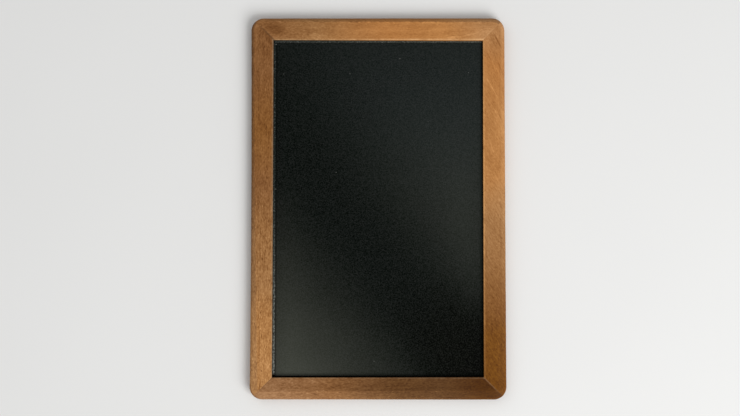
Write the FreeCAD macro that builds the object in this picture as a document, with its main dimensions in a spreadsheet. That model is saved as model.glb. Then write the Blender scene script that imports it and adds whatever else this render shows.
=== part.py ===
import FreeCAD, Part

# A slate writing board, lying flat with its writing face up: a thin slate panel held loosely in the
# grooves of a mitred hardwood frame, with a hidden wooden key across each mitre.
#
# Sizes are in millimetres. The origin lies on the back face, under the middle of the board. +X runs
# across the board to the right, +Y up its length, and +Z out of the writing face.

import math
import os

import Sketcher

OUTPUT_FOLDER = "parts"
SHEET = "Sizes"
TOLERANCE = 0.001

# Each driving size: its alias, its value and what it measures.
SIZES = [
    ("board_width", 200.0, "across the frame, outside to outside"),
    ("board_length", 300.0, "up the frame, outside to outside"),
    ("frame_thickness", 10.0, "front face to back face"),
    ("member_width", 17.5, "sight edge to outer edge of a frame member, seen from the front"),
    ("corner_radius", 10.0, "rounding of the frame's outer corners, seen from the front"),
    ("shoulder_width", 7.0, "outer edge to the soft ridge where the sloping shoulder starts"),
    ("shoulder_drop", 0.9, "fall of the shoulder from the ridge to the outer edge"),
    ("edge_band", 2.8, "straight band left half way up the outer edge"),
    ("sight_ease", 0.6, "rounding of the arris round the sight opening"),
    ("groove_depth", 5.0, "depth of the slate groove from the sight edge"),
    ("groove_clearance", 0.1, "play over and under the slate's tongue in its groove"),
    ("slate_thickness", 4.0, "thickness of the slate's raised field"),
    ("tongue_thickness", 3.2, "thickness of the ground margin round the slate"),
    ("margin_show", 0.5, "ground margin that shows where the slate sits deepest in its groove"),
    ("side_gap_tight", 0.2, "slate to groove bottom at the right stile"),
    ("side_gap_loose", 1.8, "slate to groove bottom at the left stile"),
    ("end_gap_tight", 0.7, "slate to groove bottom at the bottom rail"),
    ("end_gap_loose", 1.3, "slate to groove bottom at the top rail"),
    ("key_thickness", 1.6, "thickness of a mitre key"),
    ("key_setback", 3.5, "wood left between a key's kerf and the slate groove, along the mitre"),
    ("key_clearance", 0.05, "glue line on each face and behind the key"),
]


def size(alias):
    """The sheet reference of one driving size."""
    return f"{SHEET}.{alias}"


# Sizes that follow from the driving ones, as sheet expressions.
MID_HEIGHT = f"{size('frame_thickness')} / 2"
LIP_WIDTH = f"({size('member_width')} - {size('groove_depth')})"
OUTLINE_INSET = f"{size('corner_radius')} * (1 - sqrt(0.5))"
KERF_LEG = f"(2 * {LIP_WIDTH} - sqrt(2) * {size('key_setback')})"
KEY_LEG = f"({KERF_LEG} - sqrt(2) * {size('key_clearance')})"
KERF_HEIGHT = f"{size('key_thickness')} + 2 * {size('key_clearance')}"
GROOVE_HEIGHT = f"({size('tongue_thickness')} + 2 * {size('groove_clearance')})"
UNDER_GROOVE = f"({size('frame_thickness')} - {GROOVE_HEIGHT}) / 2"
SIDE_MARGIN = f"({size('groove_depth')} - {size('side_gap_tight')} + {size('margin_show')})"
END_MARGIN = f"({size('groove_depth')} - {size('end_gap_tight')} + {size('margin_show')})"
SLATE_WIDTH = (
    f"({size('board_width')} - 2 * {LIP_WIDTH}"
    f" - {size('side_gap_tight')} - {size('side_gap_loose')})"
)
SLATE_LENGTH = (
    f"({size('board_length')} - 2 * {LIP_WIDTH}"
    f" - {size('end_gap_tight')} - {size('end_gap_loose')})"
)
SLATE_SHIFT_X = f"({size('side_gap_loose')} - {size('side_gap_tight')}) / 2"
SLATE_SHIFT_Y = f"({size('end_gap_tight')} - {size('end_gap_loose')}) / 2"
EDGE_ROUND = (
    f"(({size('frame_thickness')} - {size('edge_band')}) / 2 - {size('shoulder_drop')})"
    f" * tan(45 deg + atan({size('shoulder_drop')} / {size('shoulder_width')}) / 2)"
)

# Sketcher's numbers for the start, end and centre of an element, and for its two axes.
START, END, CENTRE = range(1, 4)
X_AXIS, Y_AXIS = range(-1, -3, -1)
ORIGIN = (X_AXIS, START)


def make_sheet(doc):
    """The spreadsheet that holds every driving size under its alias."""
    sheet = doc.addObject("Spreadsheet::Sheet", SHEET)
    for row, (alias, value, meaning) in enumerate(SIZES, start=1):
        sheet.set(f"A{row}", alias)
        sheet.set(f"B{row}", str(value))
        sheet.set(f"C{row}", meaning)
        sheet.setAlias(f"B{row}", alias)
    doc.recompute()


def number(item, expression):
    """The present value of a sheet expression, for drawing a sketch near its final form."""
    return float(item.evalExpression(expression))


def make_body(doc, label):
    """An empty body that is named after its sub-part."""
    body = doc.addObject("PartDesign::Body", label)
    body.Label = label
    return body


def make_sketch(body, name, plane, height=None):
    """A sketch on one of the body's own origin planes, raised by a sheet expression."""
    sketch = body.newObject("Sketcher::SketchObject", name)
    planes = {feature.Role: feature for feature in body.Origin.OriginFeatures}
    sketch.AttachmentSupport = (planes[plane], "")
    sketch.MapMode = "FlatFace"
    if height is not None:
        sketch.setExpression("AttachmentOffset.Base.z", height)
    return sketch


def drive(sketch, name, expression, kind, *elements):
    """Add a dimension with a name and bind it to the sheet."""
    index = sketch.addConstraint(Sketcher.Constraint(kind, *elements, number(sketch, expression)))
    sketch.renameConstraint(index, name)
    sketch.setExpression(f"Constraints.{name}", expression)


def add_lines(sketch, points):
    """Draw the closed outline through the points, joined at its corners."""
    first = sketch.GeometryCount
    for here, there in zip(points, points[1:] + points[:1]):
        sketch.addGeometry(Part.LineSegment(vector(*here), vector(*there)))
    for side in range(len(points)):
        following = first + (side + 1) % len(points)
        sketch.addConstraint(Sketcher.Constraint("Coincident", first + side, END, following, START))
    return first


def vector(x, y):
    """A point of a sketch."""
    return FreeCAD.Vector(x, y, 0)


def pad(body, sketch, name, length, side_type="One side"):
    """Raise a sketch into a solid."""
    feature = body.newObject("PartDesign::Pad", name)
    feature.Profile = sketch
    feature.SideType = side_type
    feature.setExpression("Length", length)
    return feature


def cut(body, sketch, name, length=None):
    """Cut a sketch out of the body, equally to both sides of its plane: right through, or by a length."""
    feature = body.newObject("PartDesign::Pocket", name)
    feature.Profile = sketch
    feature.SideType = "Symmetric"
    if length is None:
        feature.Type = "ThroughAll"
    else:
        feature.setExpression("Length", length)
    return feature


def edges_where(feature, test):
    """The names of the feature's level edges that pass a test of their middle."""
    found = []
    for number, edge in enumerate(feature.Shape.Edges, start=1):
        heights = [vertex.Z for vertex in edge.Vertexes]
        if max(heights) - min(heights) < TOLERANCE and test(edge.CenterOfMass):
            found.append(f"Edge{number}")
    return found


def round_edges(body, base, name, edges, radius):
    """Round edges of the feature to a radius."""
    feature = body.newObject("PartDesign::Fillet", name)
    feature.Base = (base, edges)
    feature.setExpression("Radius", radius)
    return feature


def member_plan(body, span):
    """Outline of a mitred member seen from the front: sight edge, mitres, corner arcs, outer edge.

    The outer edge lies on the body's X axis, and the sight edge below it.
    """
    sketch = make_sketch(body, "plan", "XY_Plane")
    half = number(sketch, f"{size(span)} / 2")
    width = number(sketch, size("member_width"))
    radius = number(sketch, size("corner_radius"))
    inset = number(sketch, OUTLINE_INSET)
    eighth_turn = math.pi / 4

    def line(x_from, y_from, x_to, y_to):
        return sketch.addGeometry(Part.LineSegment(vector(x_from, y_from), vector(x_to, y_to)))

    def arc(x_centre, start_angle):
        circle = Part.Circle(vector(x_centre, -radius), FreeCAD.Vector(0, 0, 1), radius)
        return sketch.addGeometry(Part.ArcOfCircle(circle, start_angle, start_angle + eighth_turn))

    sight = line(width - half, -width, half - width, -width)
    right_mitre = line(half - width, -width, half - inset, -inset)
    right_arc = arc(half - radius, eighth_turn)
    outer = line(half - radius, 0, radius - half, 0)
    left_arc = arc(radius - half, 2 * eighth_turn)
    left_mitre = line(inset - half, -inset, width - half, -width)

    joined = [(sight, right_mitre), (right_mitre, right_arc), (left_arc, left_mitre), (left_mitre, sight)]
    for here, there in joined:
        sketch.addConstraint(Sketcher.Constraint("Coincident", here, END, there, START))
    sketch.addConstraint(Sketcher.Constraint("Tangent", right_arc, END, outer, START))
    sketch.addConstraint(Sketcher.Constraint("Tangent", outer, END, left_arc, START))
    sketch.addConstraint(Sketcher.Constraint("Horizontal", outer))
    sketch.addConstraint(Sketcher.Constraint("PointOnObject", outer, START, X_AXIS))
    sketch.addConstraint(Sketcher.Constraint("PointOnObject", right_arc, CENTRE, right_mitre))
    sketch.addConstraint(Sketcher.Constraint("PointOnObject", left_arc, CENTRE, left_mitre))
    sketch.addConstraint(Sketcher.Constraint("Symmetric", sight, START, sight, END, Y_AXIS))
    sketch.addConstraint(Sketcher.Constraint("Equal", right_arc, left_arc))
    sketch.addConstraint(Sketcher.Constraint("Angle", right_mitre, eighth_turn))
    sketch.addConstraint(Sketcher.Constraint("Angle", left_mitre, -eighth_turn))
    drive(sketch, "corner_radius", size("corner_radius"), "Radius", right_arc)
    drive(sketch, "member_width", size("member_width"), "DistanceY", sight, START, *ORIGIN)
    drive(
        sketch,
        "sight_length",
        f"{size(span)} - 2 * {size('member_width')}",
        "DistanceX",
        sight,
        START,
        sight,
        END,
    )
    return sketch


def groove_section(body):
    """Section of the slate groove, cut into the sight edge half way up the member."""
    sketch = make_sketch(body, "groove_section", "YZ_Plane")
    width = number(sketch, size("member_width"))
    lip = number(sketch, LIP_WIDTH)
    low = number(sketch, UNDER_GROOVE)
    high = low + number(sketch, GROOVE_HEIGHT)
    floor = add_lines(sketch, [(-width, low), (-lip, low), (-lip, high), (-width, high)])
    bottom, roof, mouth = floor + 1, floor + 2, floor + 3
    for side in (floor, roof):
        sketch.addConstraint(Sketcher.Constraint("Horizontal", side))
    for side in (bottom, mouth):
        sketch.addConstraint(Sketcher.Constraint("Vertical", side))
    drive(sketch, "mouth", size("member_width"), "DistanceX", floor, START, *ORIGIN)
    drive(sketch, "depth", size("groove_depth"), "DistanceX", floor, START, floor, END)
    drive(sketch, "height", GROOVE_HEIGHT, "DistanceY", bottom, START, bottom, END)
    drive(sketch, "under_groove", UNDER_GROOVE, "DistanceY", *ORIGIN, floor, START)
    return sketch


def kerf_plan(body, span):
    """The triangle that each end of a member loses to the saw kerf of its mitre key."""
    sketch = make_sketch(body, "kerf_plan", "XY_Plane", MID_HEIGHT)
    half = number(sketch, f"{size(span)} / 2")
    leg = number(sketch, KERF_LEG)
    corners = [(half - leg, 0), (half, 0), (half - leg / 2, -leg / 2)]
    outer_edge = add_lines(sketch, corners)
    mitre = outer_edge + 1
    kerf_bottom = outer_edge + 2
    sketch.addConstraint(Sketcher.Constraint("PointOnObject", outer_edge, START, X_AXIS))
    sketch.addConstraint(Sketcher.Constraint("PointOnObject", outer_edge, END, X_AXIS))
    sketch.addConstraint(Sketcher.Constraint("Equal", mitre, kerf_bottom))
    sketch.addConstraint(Sketcher.Constraint("Perpendicular", mitre, kerf_bottom))
    drive(sketch, "kerf_leg", KERF_LEG, "DistanceX", outer_edge, START, outer_edge, END)
    drive(sketch, "half_span", f"{size(span)} / 2", "DistanceX", *ORIGIN, outer_edge, END)

    mirrored = add_lines(sketch, [(-x, y) for x, y in corners])
    for side in range(len(corners)):
        pair = (outer_edge + side, START, mirrored + side, START)
        sketch.addConstraint(Sketcher.Constraint("Symmetric", *pair, Y_AXIS))
    return sketch


def frame_member(doc, label, span, reach_axis, reach, turn):
    """One grooved, moulded and kerfed frame member, turned about the board's middle to its side."""
    body = make_body(doc, label)
    plan = member_plan(body, span)
    blank = pad(body, plan, "blank", size("frame_thickness"))
    doc.recompute()

    thickness = number(body, size("frame_thickness"))
    drop = number(body, size("shoulder_drop"))
    inset = number(body, OUTLINE_INSET)

    def on_outline(middle, height):
        off_height = min(abs(middle.z - height), abs(thickness - height - middle.z))
        return off_height < TOLERANCE and middle.y > -inset

    shoulder = body.newObject("PartDesign::Chamfer", "shoulder")
    shoulder.Base = (blank, edges_where(blank, lambda middle: on_outline(middle, 0)))
    shoulder.ChamferType = "Two distances"
    shoulder.FlipDirection = True
    shoulder.setExpression("Size", size("shoulder_width"))
    shoulder.setExpression("Size2", size("shoulder_drop"))
    doc.recompute()

    outer_edges = edges_where(shoulder, lambda middle: on_outline(middle, drop))
    outer_round = round_edges(body, shoulder, "outer_round", outer_edges, EDGE_ROUND)
    doc.recompute()

    width = number(body, size("member_width"))
    sight_edges = edges_where(outer_round, lambda middle: abs(middle.y + width) < TOLERANCE)
    round_edges(body, outer_round, "sight_round", sight_edges, size("sight_ease"))
    doc.recompute()

    cut(body, groove_section(body), "slate_groove")
    cut(body, kerf_plan(body, span), "key_kerfs", KERF_HEIGHT)
    body.Placement = FreeCAD.Placement(FreeCAD.Vector(), FreeCAD.Rotation(turn, 0, 0))
    body.setExpression(f"Placement.Base.{reach_axis}", reach)
    return body


def slate_panel(doc, label):
    """The slate: a raised writing field on each face, inside a ground margin that enters the grooves."""
    body = make_body(doc, label)
    layers = [
        ("tongue", SLATE_WIDTH, SLATE_LENGTH, size("tongue_thickness")),
        (
            "field",
            f"{SLATE_WIDTH} - 2 * {SIDE_MARGIN}",
            f"{SLATE_LENGTH} - 2 * {END_MARGIN}",
            size("slate_thickness"),
        ),
    ]
    for name, width, length, thickness in layers:
        sketch = make_sketch(body, f"{name}_plan", "XY_Plane", MID_HEIGHT)
        lower = add_lines(sketch, [(-1, -1), (1, -1), (1, 1), (-1, 1)])
        right, upper, left = lower + 1, lower + 2, lower + 3
        for side in (lower, upper):
            sketch.addConstraint(Sketcher.Constraint("Horizontal", side))
        for side in (right, left):
            sketch.addConstraint(Sketcher.Constraint("Vertical", side))
        sketch.addConstraint(Sketcher.Constraint("Symmetric", lower, START, upper, START, *ORIGIN))
        drive(sketch, "width", width, "DistanceX", lower, START, lower, END)
        drive(sketch, "length", length, "DistanceY", right, START, right, END)
        pad(body, sketch, name, thickness, "Symmetric")
    body.setExpression("Placement.Base.x", SLATE_SHIFT_X)
    body.setExpression("Placement.Base.y", SLATE_SHIFT_Y)
    return body


def mitre_key(doc, label, side_x, side_y, turn):
    """A thin wooden slip glued into the kerf across one mitre, sanded flush with the rounded corner."""
    body = make_body(doc, label)
    sketch = make_sketch(body, "key_plan", "XY_Plane", MID_HEIGHT)
    leg = number(sketch, KEY_LEG)
    radius = number(sketch, size("corner_radius"))
    circle = Part.Circle(vector(-radius, -radius), FreeCAD.Vector(0, 0, 1), radius)
    upper = sketch.addGeometry(Part.LineSegment(vector(-leg, 0), vector(-radius, 0)))
    corner = sketch.addGeometry(Part.ArcOfCircle(circle, 0, math.pi / 2))
    right = sketch.addGeometry(Part.LineSegment(vector(0, -radius), vector(0, -leg)))
    inner = sketch.addGeometry(Part.LineSegment(vector(0, -leg), vector(-leg, 0)))
    sketch.addConstraint(Sketcher.Constraint("Tangent", upper, END, corner, END))
    sketch.addConstraint(Sketcher.Constraint("Tangent", corner, START, right, START))
    sketch.addConstraint(Sketcher.Constraint("Coincident", right, END, inner, START))
    sketch.addConstraint(Sketcher.Constraint("Coincident", inner, END, upper, START))
    sketch.addConstraint(Sketcher.Constraint("Horizontal", upper))
    sketch.addConstraint(Sketcher.Constraint("Vertical", right))
    sketch.addConstraint(Sketcher.Constraint("PointOnObject", upper, START, X_AXIS))
    sketch.addConstraint(Sketcher.Constraint("PointOnObject", right, END, Y_AXIS))
    drive(sketch, "corner_radius", size("corner_radius"), "Radius", corner)
    drive(sketch, "upper_leg", KEY_LEG, "DistanceX", upper, START, *ORIGIN)
    drive(sketch, "right_leg", KEY_LEG, "DistanceY", right, END, *ORIGIN)
    pad(body, sketch, "slip", size("key_thickness"), "Symmetric")
    body.Placement = FreeCAD.Placement(FreeCAD.Vector(), FreeCAD.Rotation(turn, 0, 0))
    body.setExpression("Placement.Base.x", f"{side_x} * {size('board_width')} / 2")
    body.setExpression("Placement.Base.y", f"{side_y} * {size('board_length')} / 2")
    return body


def build_board(doc):
    """Every sub-part of the board, in its place."""
    half_width = f"{size('board_width')} / 2"
    half_length = f"{size('board_length')} / 2"
    return [
        frame_member(doc, "top_rail", "board_width", "y", half_length, 0),
        frame_member(doc, "left_stile", "board_length", "x", f"-{half_width}", 90),
        frame_member(doc, "bottom_rail", "board_width", "y", f"-{half_length}", 180),
        frame_member(doc, "right_stile", "board_length", "x", half_width, 270),
        slate_panel(doc, "slate_panel"),
        mitre_key(doc, "corner_key_top_right", 1, 1, 0),
        mitre_key(doc, "corner_key_top_left", -1, 1, 90),
        mitre_key(doc, "corner_key_bottom_left", -1, -1, 180),
        mitre_key(doc, "corner_key_bottom_right", 1, -1, 270),
    ]


def check(doc, bodies):
    """Stop with a plain message if a feature failed or a sub-part has no valid solid."""
    for item in doc.Objects:
        if "Invalid" in item.State or "Error" in item.State:
            raise RuntimeError(f"{item.Label} failed: {item.State}")
    for body in bodies:
        if body.Shape.isNull() or not body.Shape.isValid() or len(body.Shape.Solids) != 1:
            raise RuntimeError(f"{body.Label} is not one valid solid")


def main():
    """Build the board and write one STEP file for each sub-part."""
    doc = FreeCAD.newDocument("slate_writing_board")
    make_sheet(doc)
    bodies = build_board(doc)
    doc.recompute()
    check(doc, bodies)
    os.makedirs(OUTPUT_FOLDER, exist_ok=True)
    for body in bodies:
        body.Shape.exportStep(f"{OUTPUT_FOLDER}/{body.Label}.step")
        box = body.Shape.BoundBox
        print(f"{body.Label}: {box.XLength:.2f} x {box.YLength:.2f} x {box.ZLength:.2f} mm")


main()
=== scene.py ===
"""A slate writing board: a thin slate panel in the grooves of a mitred hardwood frame.

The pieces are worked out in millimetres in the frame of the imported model, with the board lying on its
back: +X to the right, +Y up the board, +Z out of its writing face. Their meshes are stored in metres.
"""

import logging
import math
from bisect import bisect_right
from collections.abc import Callable, Mapping, Sequence
from dataclasses import dataclass
from enum import Enum
from typing import Any, ClassVar

import bmesh
import bpy
from mathutils import Matrix, Vector, noise


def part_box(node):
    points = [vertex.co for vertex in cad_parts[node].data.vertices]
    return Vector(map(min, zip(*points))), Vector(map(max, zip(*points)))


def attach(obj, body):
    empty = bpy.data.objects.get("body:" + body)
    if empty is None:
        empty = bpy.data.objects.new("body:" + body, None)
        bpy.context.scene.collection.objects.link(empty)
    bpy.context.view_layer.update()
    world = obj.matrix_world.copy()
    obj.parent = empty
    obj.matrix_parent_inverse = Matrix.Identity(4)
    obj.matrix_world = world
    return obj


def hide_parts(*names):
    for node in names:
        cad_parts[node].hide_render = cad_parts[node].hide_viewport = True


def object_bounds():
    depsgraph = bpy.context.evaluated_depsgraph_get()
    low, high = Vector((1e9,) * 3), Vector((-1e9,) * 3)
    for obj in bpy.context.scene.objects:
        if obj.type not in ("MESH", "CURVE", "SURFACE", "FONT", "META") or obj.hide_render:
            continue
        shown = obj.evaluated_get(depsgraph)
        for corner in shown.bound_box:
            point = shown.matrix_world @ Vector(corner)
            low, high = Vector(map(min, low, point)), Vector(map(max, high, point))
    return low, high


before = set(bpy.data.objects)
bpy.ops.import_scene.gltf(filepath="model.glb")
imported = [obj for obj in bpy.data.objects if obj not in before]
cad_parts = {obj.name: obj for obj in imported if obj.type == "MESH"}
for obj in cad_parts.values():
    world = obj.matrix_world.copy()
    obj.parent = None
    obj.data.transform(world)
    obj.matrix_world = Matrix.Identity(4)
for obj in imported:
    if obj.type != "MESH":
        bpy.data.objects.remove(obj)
CAD_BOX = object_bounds()

BODY = "root"
MM = 0.001
QUARTER = math.pi / 2
EIGHTH = math.pi / 4
CRISP = math.radians(30)

# Smooth noise is 0 where all its coordinates are whole, so a line is read between those
OFF_GRID = 0.5

# A display's tone curve: a straight toe, then a power
TOE_END = 0.04045
TOE_SLOPE = 12.92
CURVE_LIFT = 0.055
CURVE_POWER = 2.4

# Input and output sockets of a Mix node that works on colours
MIX_SHARE = 0
MIX_BASE = 6
MIX_LAYER = 7
MIX_RESULT = 2

Pair = tuple[float, float]
Triple = tuple[float, float, float]
Colour = tuple[float, float, float, float]

log = logging.getLogger("slate_board")


def linear(red: float, green: float, blue: float) -> Colour:
    """Turn a display colour, 0 to 255 a channel, into the linear colour of a shader.

    Args:
        red: Red channel.
        green: Green channel.
        blue: Blue channel.

    Returns:
        The linear colour, opaque.
    """
    channels = []
    for value in (red, green, blue):
        share = value / 255
        if share <= TOE_END:
            channels.append(share / TOE_SLOPE)
        else:
            channels.append(((share + CURVE_LIFT) / (1 + CURVE_LIFT)) ** CURVE_POWER)
    return (*channels, 1.0)


def between(start: float, end: float, share: float) -> float:
    """The number that lies a share of the way from start to end."""
    return start + (end - start) * share


def wander(seed: float, along: float, pitch: float) -> float:
    """Smooth noise from -1 to 1 along a line, the same on each run."""
    return noise.noise(Vector((along / pitch, seed, OFF_GRID)))


def shares(steps: int) -> list[float]:
    """Even shares of a way, from 0 at its start to 1 at its end."""
    return [step / steps for step in range(steps + 1)]


def to_share(value: "float | Shade") -> "float | Shade":
    """A number from -1 to 1 as a share from 0 to 1."""
    return value * 0.5 + 0.5


class Turned(Enum):
    """A place on the frame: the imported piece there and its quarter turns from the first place."""

    @property
    def node(self) -> str:
        """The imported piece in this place."""
        return self.value[0]

    @property
    def turn(self) -> float:
        """Angle from the first place to this one, anticlockwise, in radians."""
        return self.value[1] * QUARTER


class Side(Turned):
    """A side of the frame and its member."""

    TOP = ("top_rail", 0)
    LEFT = ("left_stile", 1)
    BOTTOM = ("bottom_rail", 2)
    RIGHT = ("right_stile", 3)


class Corner(Turned):
    """A corner of the frame and its key."""

    TOP_RIGHT = ("corner_key_top_right", 0)
    TOP_LEFT = ("corner_key_top_left", 1)
    BOTTOM_LEFT = ("corner_key_bottom_left", 2)
    BOTTOM_RIGHT = ("corner_key_bottom_right", 3)


class Zone(Enum):
    """How a point of the section follows its member into a corner."""

    OUTLINE = "bends round the corner with the outer edge"
    FACE = "lies on the flat between the ridge and the sight edge"
    INSIDE = "runs straight on to the mitre"


@dataclass(frozen=True)
class BoardSizes:
    """The board's main sizes in mm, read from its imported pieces."""

    width: float
    length: float
    thickness: float
    member_width: float
    corner_radius: float = 10.0

    @classmethod
    def of_frame(cls) -> "BoardSizes":
        """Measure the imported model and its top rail.

        Returns:
            The sizes.
        """
        low, high = (corner / MM for corner in CAD_BOX)
        sight, outer = (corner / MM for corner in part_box(Side.TOP.node))
        return cls(high.x - low.x, high.y - low.y, high.z - low.z, outer.y - sight.y)

    def span(self, side: Side) -> float:
        """Length of the member on a side."""
        return self.width if side in (Side.TOP, Side.BOTTOM) else self.length

    def reach(self, side: Side) -> float:
        """Distance from the board's middle to the outer edge of a side."""
        return (self.length if side in (Side.TOP, Side.BOTTOM) else self.width) / 2


@dataclass(frozen=True)
class Run:
    """A value that changes along a member or edge: at its start, at its middle and at its end."""

    start: float
    middle: float
    end: float

    def at(self, place: "float | Shade") -> "float | Shade":
        """The value at a place, on a parabola through the three.

        Args:
            place: Place along the run, from -1 at its start to 1 at its end.

        Returns:
            The value.
        """
        slope = (self.end - self.start) / 2
        bow = (self.end + self.start) / 2 - self.middle
        return place * slope + place * place * bow + self.middle


STEADY = Run(1.0, 1.0, 1.0)


@dataclass(frozen=True)
class HandFit:
    """How far the edges of the hand-made frame stray from its drawing, in mm along +X or +Y."""

    sizes: BoardSizes
    left_outer: Run = Run(0.0, 0.65, 0.1)
    left_sight: Run = Run(-0.05, 0.25, 0.25)
    right_sight: Run = Run(-0.3, -0.28, 0.25)
    right_outer: Run = Run(0.0, -0.2, -0.15)
    bottom_outer: Run = Run(0.7, 0.62, 0.5)
    bottom_sight: Run = Run(0.33, 0.45, 0.68)
    top_sight: Run = Run(-0.2, -0.62, -0.9)
    top_outer: Run = Run(-0.3, -0.22, -0.2)

    def __call__(self, place: Vector) -> Vector:
        """Move a point of the drawing to where the made board has it.

        Args:
            place: Point in mm, in the board's frame.

        Returns:
            The moved point.
        """
        across = (self.left_outer, self.left_sight, self.right_sight, self.right_outer)
        up = (self.bottom_outer, self.bottom_sight, self.top_sight, self.top_outer)
        half_width, half_length = self.sizes.width / 2, self.sizes.length / 2
        x = place.x + self.stray(place.x, place.y / half_length, half_width, across)
        y = place.y + self.stray(place.y, place.x / half_width, half_length, up)
        return Vector((x, y, place.z))

    def stray(self, place: float, along: float, half: float, edges: Sequence[Run]) -> float:
        """Shift at a place, blended between the edges on its two sides.

        Args:
            place: Coordinate that is shifted, in mm.
            along: Place along the edges, from -1 to 1.
            half: Half of the board's size across the edges.
            edges: Strays of the outer, sight, sight and outer edges.

        Returns:
            The shift in mm.
        """
        sight = half - self.sizes.member_width
        stops = (-half, -sight, sight, half)
        number = bisect_right((-sight, sight), place)
        share = (place - stops[number]) / (stops[number + 1] - stops[number])
        return between(edges[number].at(along), edges[number + 1].at(along), share)


class MeshDraft:
    """Faces gathered in mm, in which corners that coincide become one vertex."""

    weld_digits: int = 4

    def __init__(self) -> None:
        """Start with no faces."""
        self.points: list[Vector] = []
        self.faces: list[list[int]] = []
        self.known: dict[tuple[float, ...], int] = {}

    def corner(self, point: Vector) -> int:
        """Find the vertex at a point, or add it.

        Args:
            point: The point, in mm.

        Returns:
            The vertex's number.
        """
        key = tuple(round(part, self.weld_digits) for part in point)
        if key not in self.known:
            self.known[key] = len(self.points)
            self.points.append(Vector(point))
        return self.known[key]

    def face(self, *corners: Vector) -> None:
        """Add a face, unless its corners fall together into a line."""
        numbers = list(dict.fromkeys(self.corner(point) for point in corners))
        if len(numbers) > 2:
            self.faces.append(numbers)

    def strip(self, near: Sequence[Vector], far: Sequence[Vector]) -> None:
        """Join two rows of points with a row of four-sided faces."""
        for spot in range(len(near) - 1):
            self.face(near[spot], near[spot + 1], far[spot + 1], far[spot])

    def build(
        self,
        name: str,
        shape: Callable[[Vector], Vector] = Vector,
        sharp: float = CRISP,
    ) -> bpy.types.Object:
        """Make the object from the faces.

        Args:
            name: Name of the object.
            shape: Moves each vertex, in mm, before it is stored.
            sharp: Angle in radians above which an edge stays crisp.

        Returns:
            The object, linked to the scene.
        """
        mesh = bpy.data.meshes.new(name)
        mesh.from_pydata([shape(point) * MM for point in self.points], [], self.faces)
        cleaner = bmesh.new()
        cleaner.from_mesh(mesh)
        bmesh.ops.recalc_face_normals(cleaner, faces=cleaner.faces)
        cleaner.to_mesh(mesh)
        cleaner.free()
        mesh.shade_smooth()
        mesh.set_sharp_from_angle(angle=sharp)
        piece = bpy.data.objects.new(name, mesh)
        bpy.context.scene.collection.objects.link(piece)
        return piece


# Shader expressions


class Shade:
    """A shader socket in an expression: each operator adds the Math node that works it out."""

    def __init__(self, graph: "Graph", socket: bpy.types.NodeSocket) -> None:
        """Wrap a socket of a graph."""
        self.graph = graph
        self.socket = socket

    def __add__(self, other: "Value") -> "Shade":
        """self + other"""
        return self.graph.math("ADD", self, other)

    def __radd__(self, other: float) -> "Shade":
        """other + self"""
        return self.graph.math("ADD", other, self)

    def __sub__(self, other: "Value") -> "Shade":
        """self - other"""
        return self.graph.math("SUBTRACT", self, other)

    def __rsub__(self, other: float) -> "Shade":
        """other - self"""
        return self.graph.math("SUBTRACT", other, self)

    def __mul__(self, other: "Value") -> "Shade":
        """self * other"""
        return self.graph.math("MULTIPLY", self, other)

    def __rmul__(self, other: float) -> "Shade":
        """other * self"""
        return self.graph.math("MULTIPLY", other, self)

    def __truediv__(self, other: "Value") -> "Shade":
        """self / other"""
        return self.graph.math("DIVIDE", self, other)

    def __rtruediv__(self, other: float) -> "Shade":
        """other / self"""
        return self.graph.math("DIVIDE", other, self)

    def __pow__(self, power: float) -> "Shade":
        """self ** power"""
        return self.graph.math("POWER", self, power)

    def __rpow__(self, base: float) -> "Shade":
        """base ** self"""
        return self.graph.math("POWER", base, self)

    def __neg__(self) -> "Shade":
        """-self"""
        return self.graph.math("MULTIPLY", self, -1.0)

    def __abs__(self) -> "Shade":
        """abs(self)"""
        return self.graph.math("ABSOLUTE", self)


Value = Shade | float | Sequence[float]
Stops = Sequence[tuple[float, Sequence[float]]]
Settings = Mapping[str, Any]
Feeds = Mapping[str | int, Value]


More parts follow.
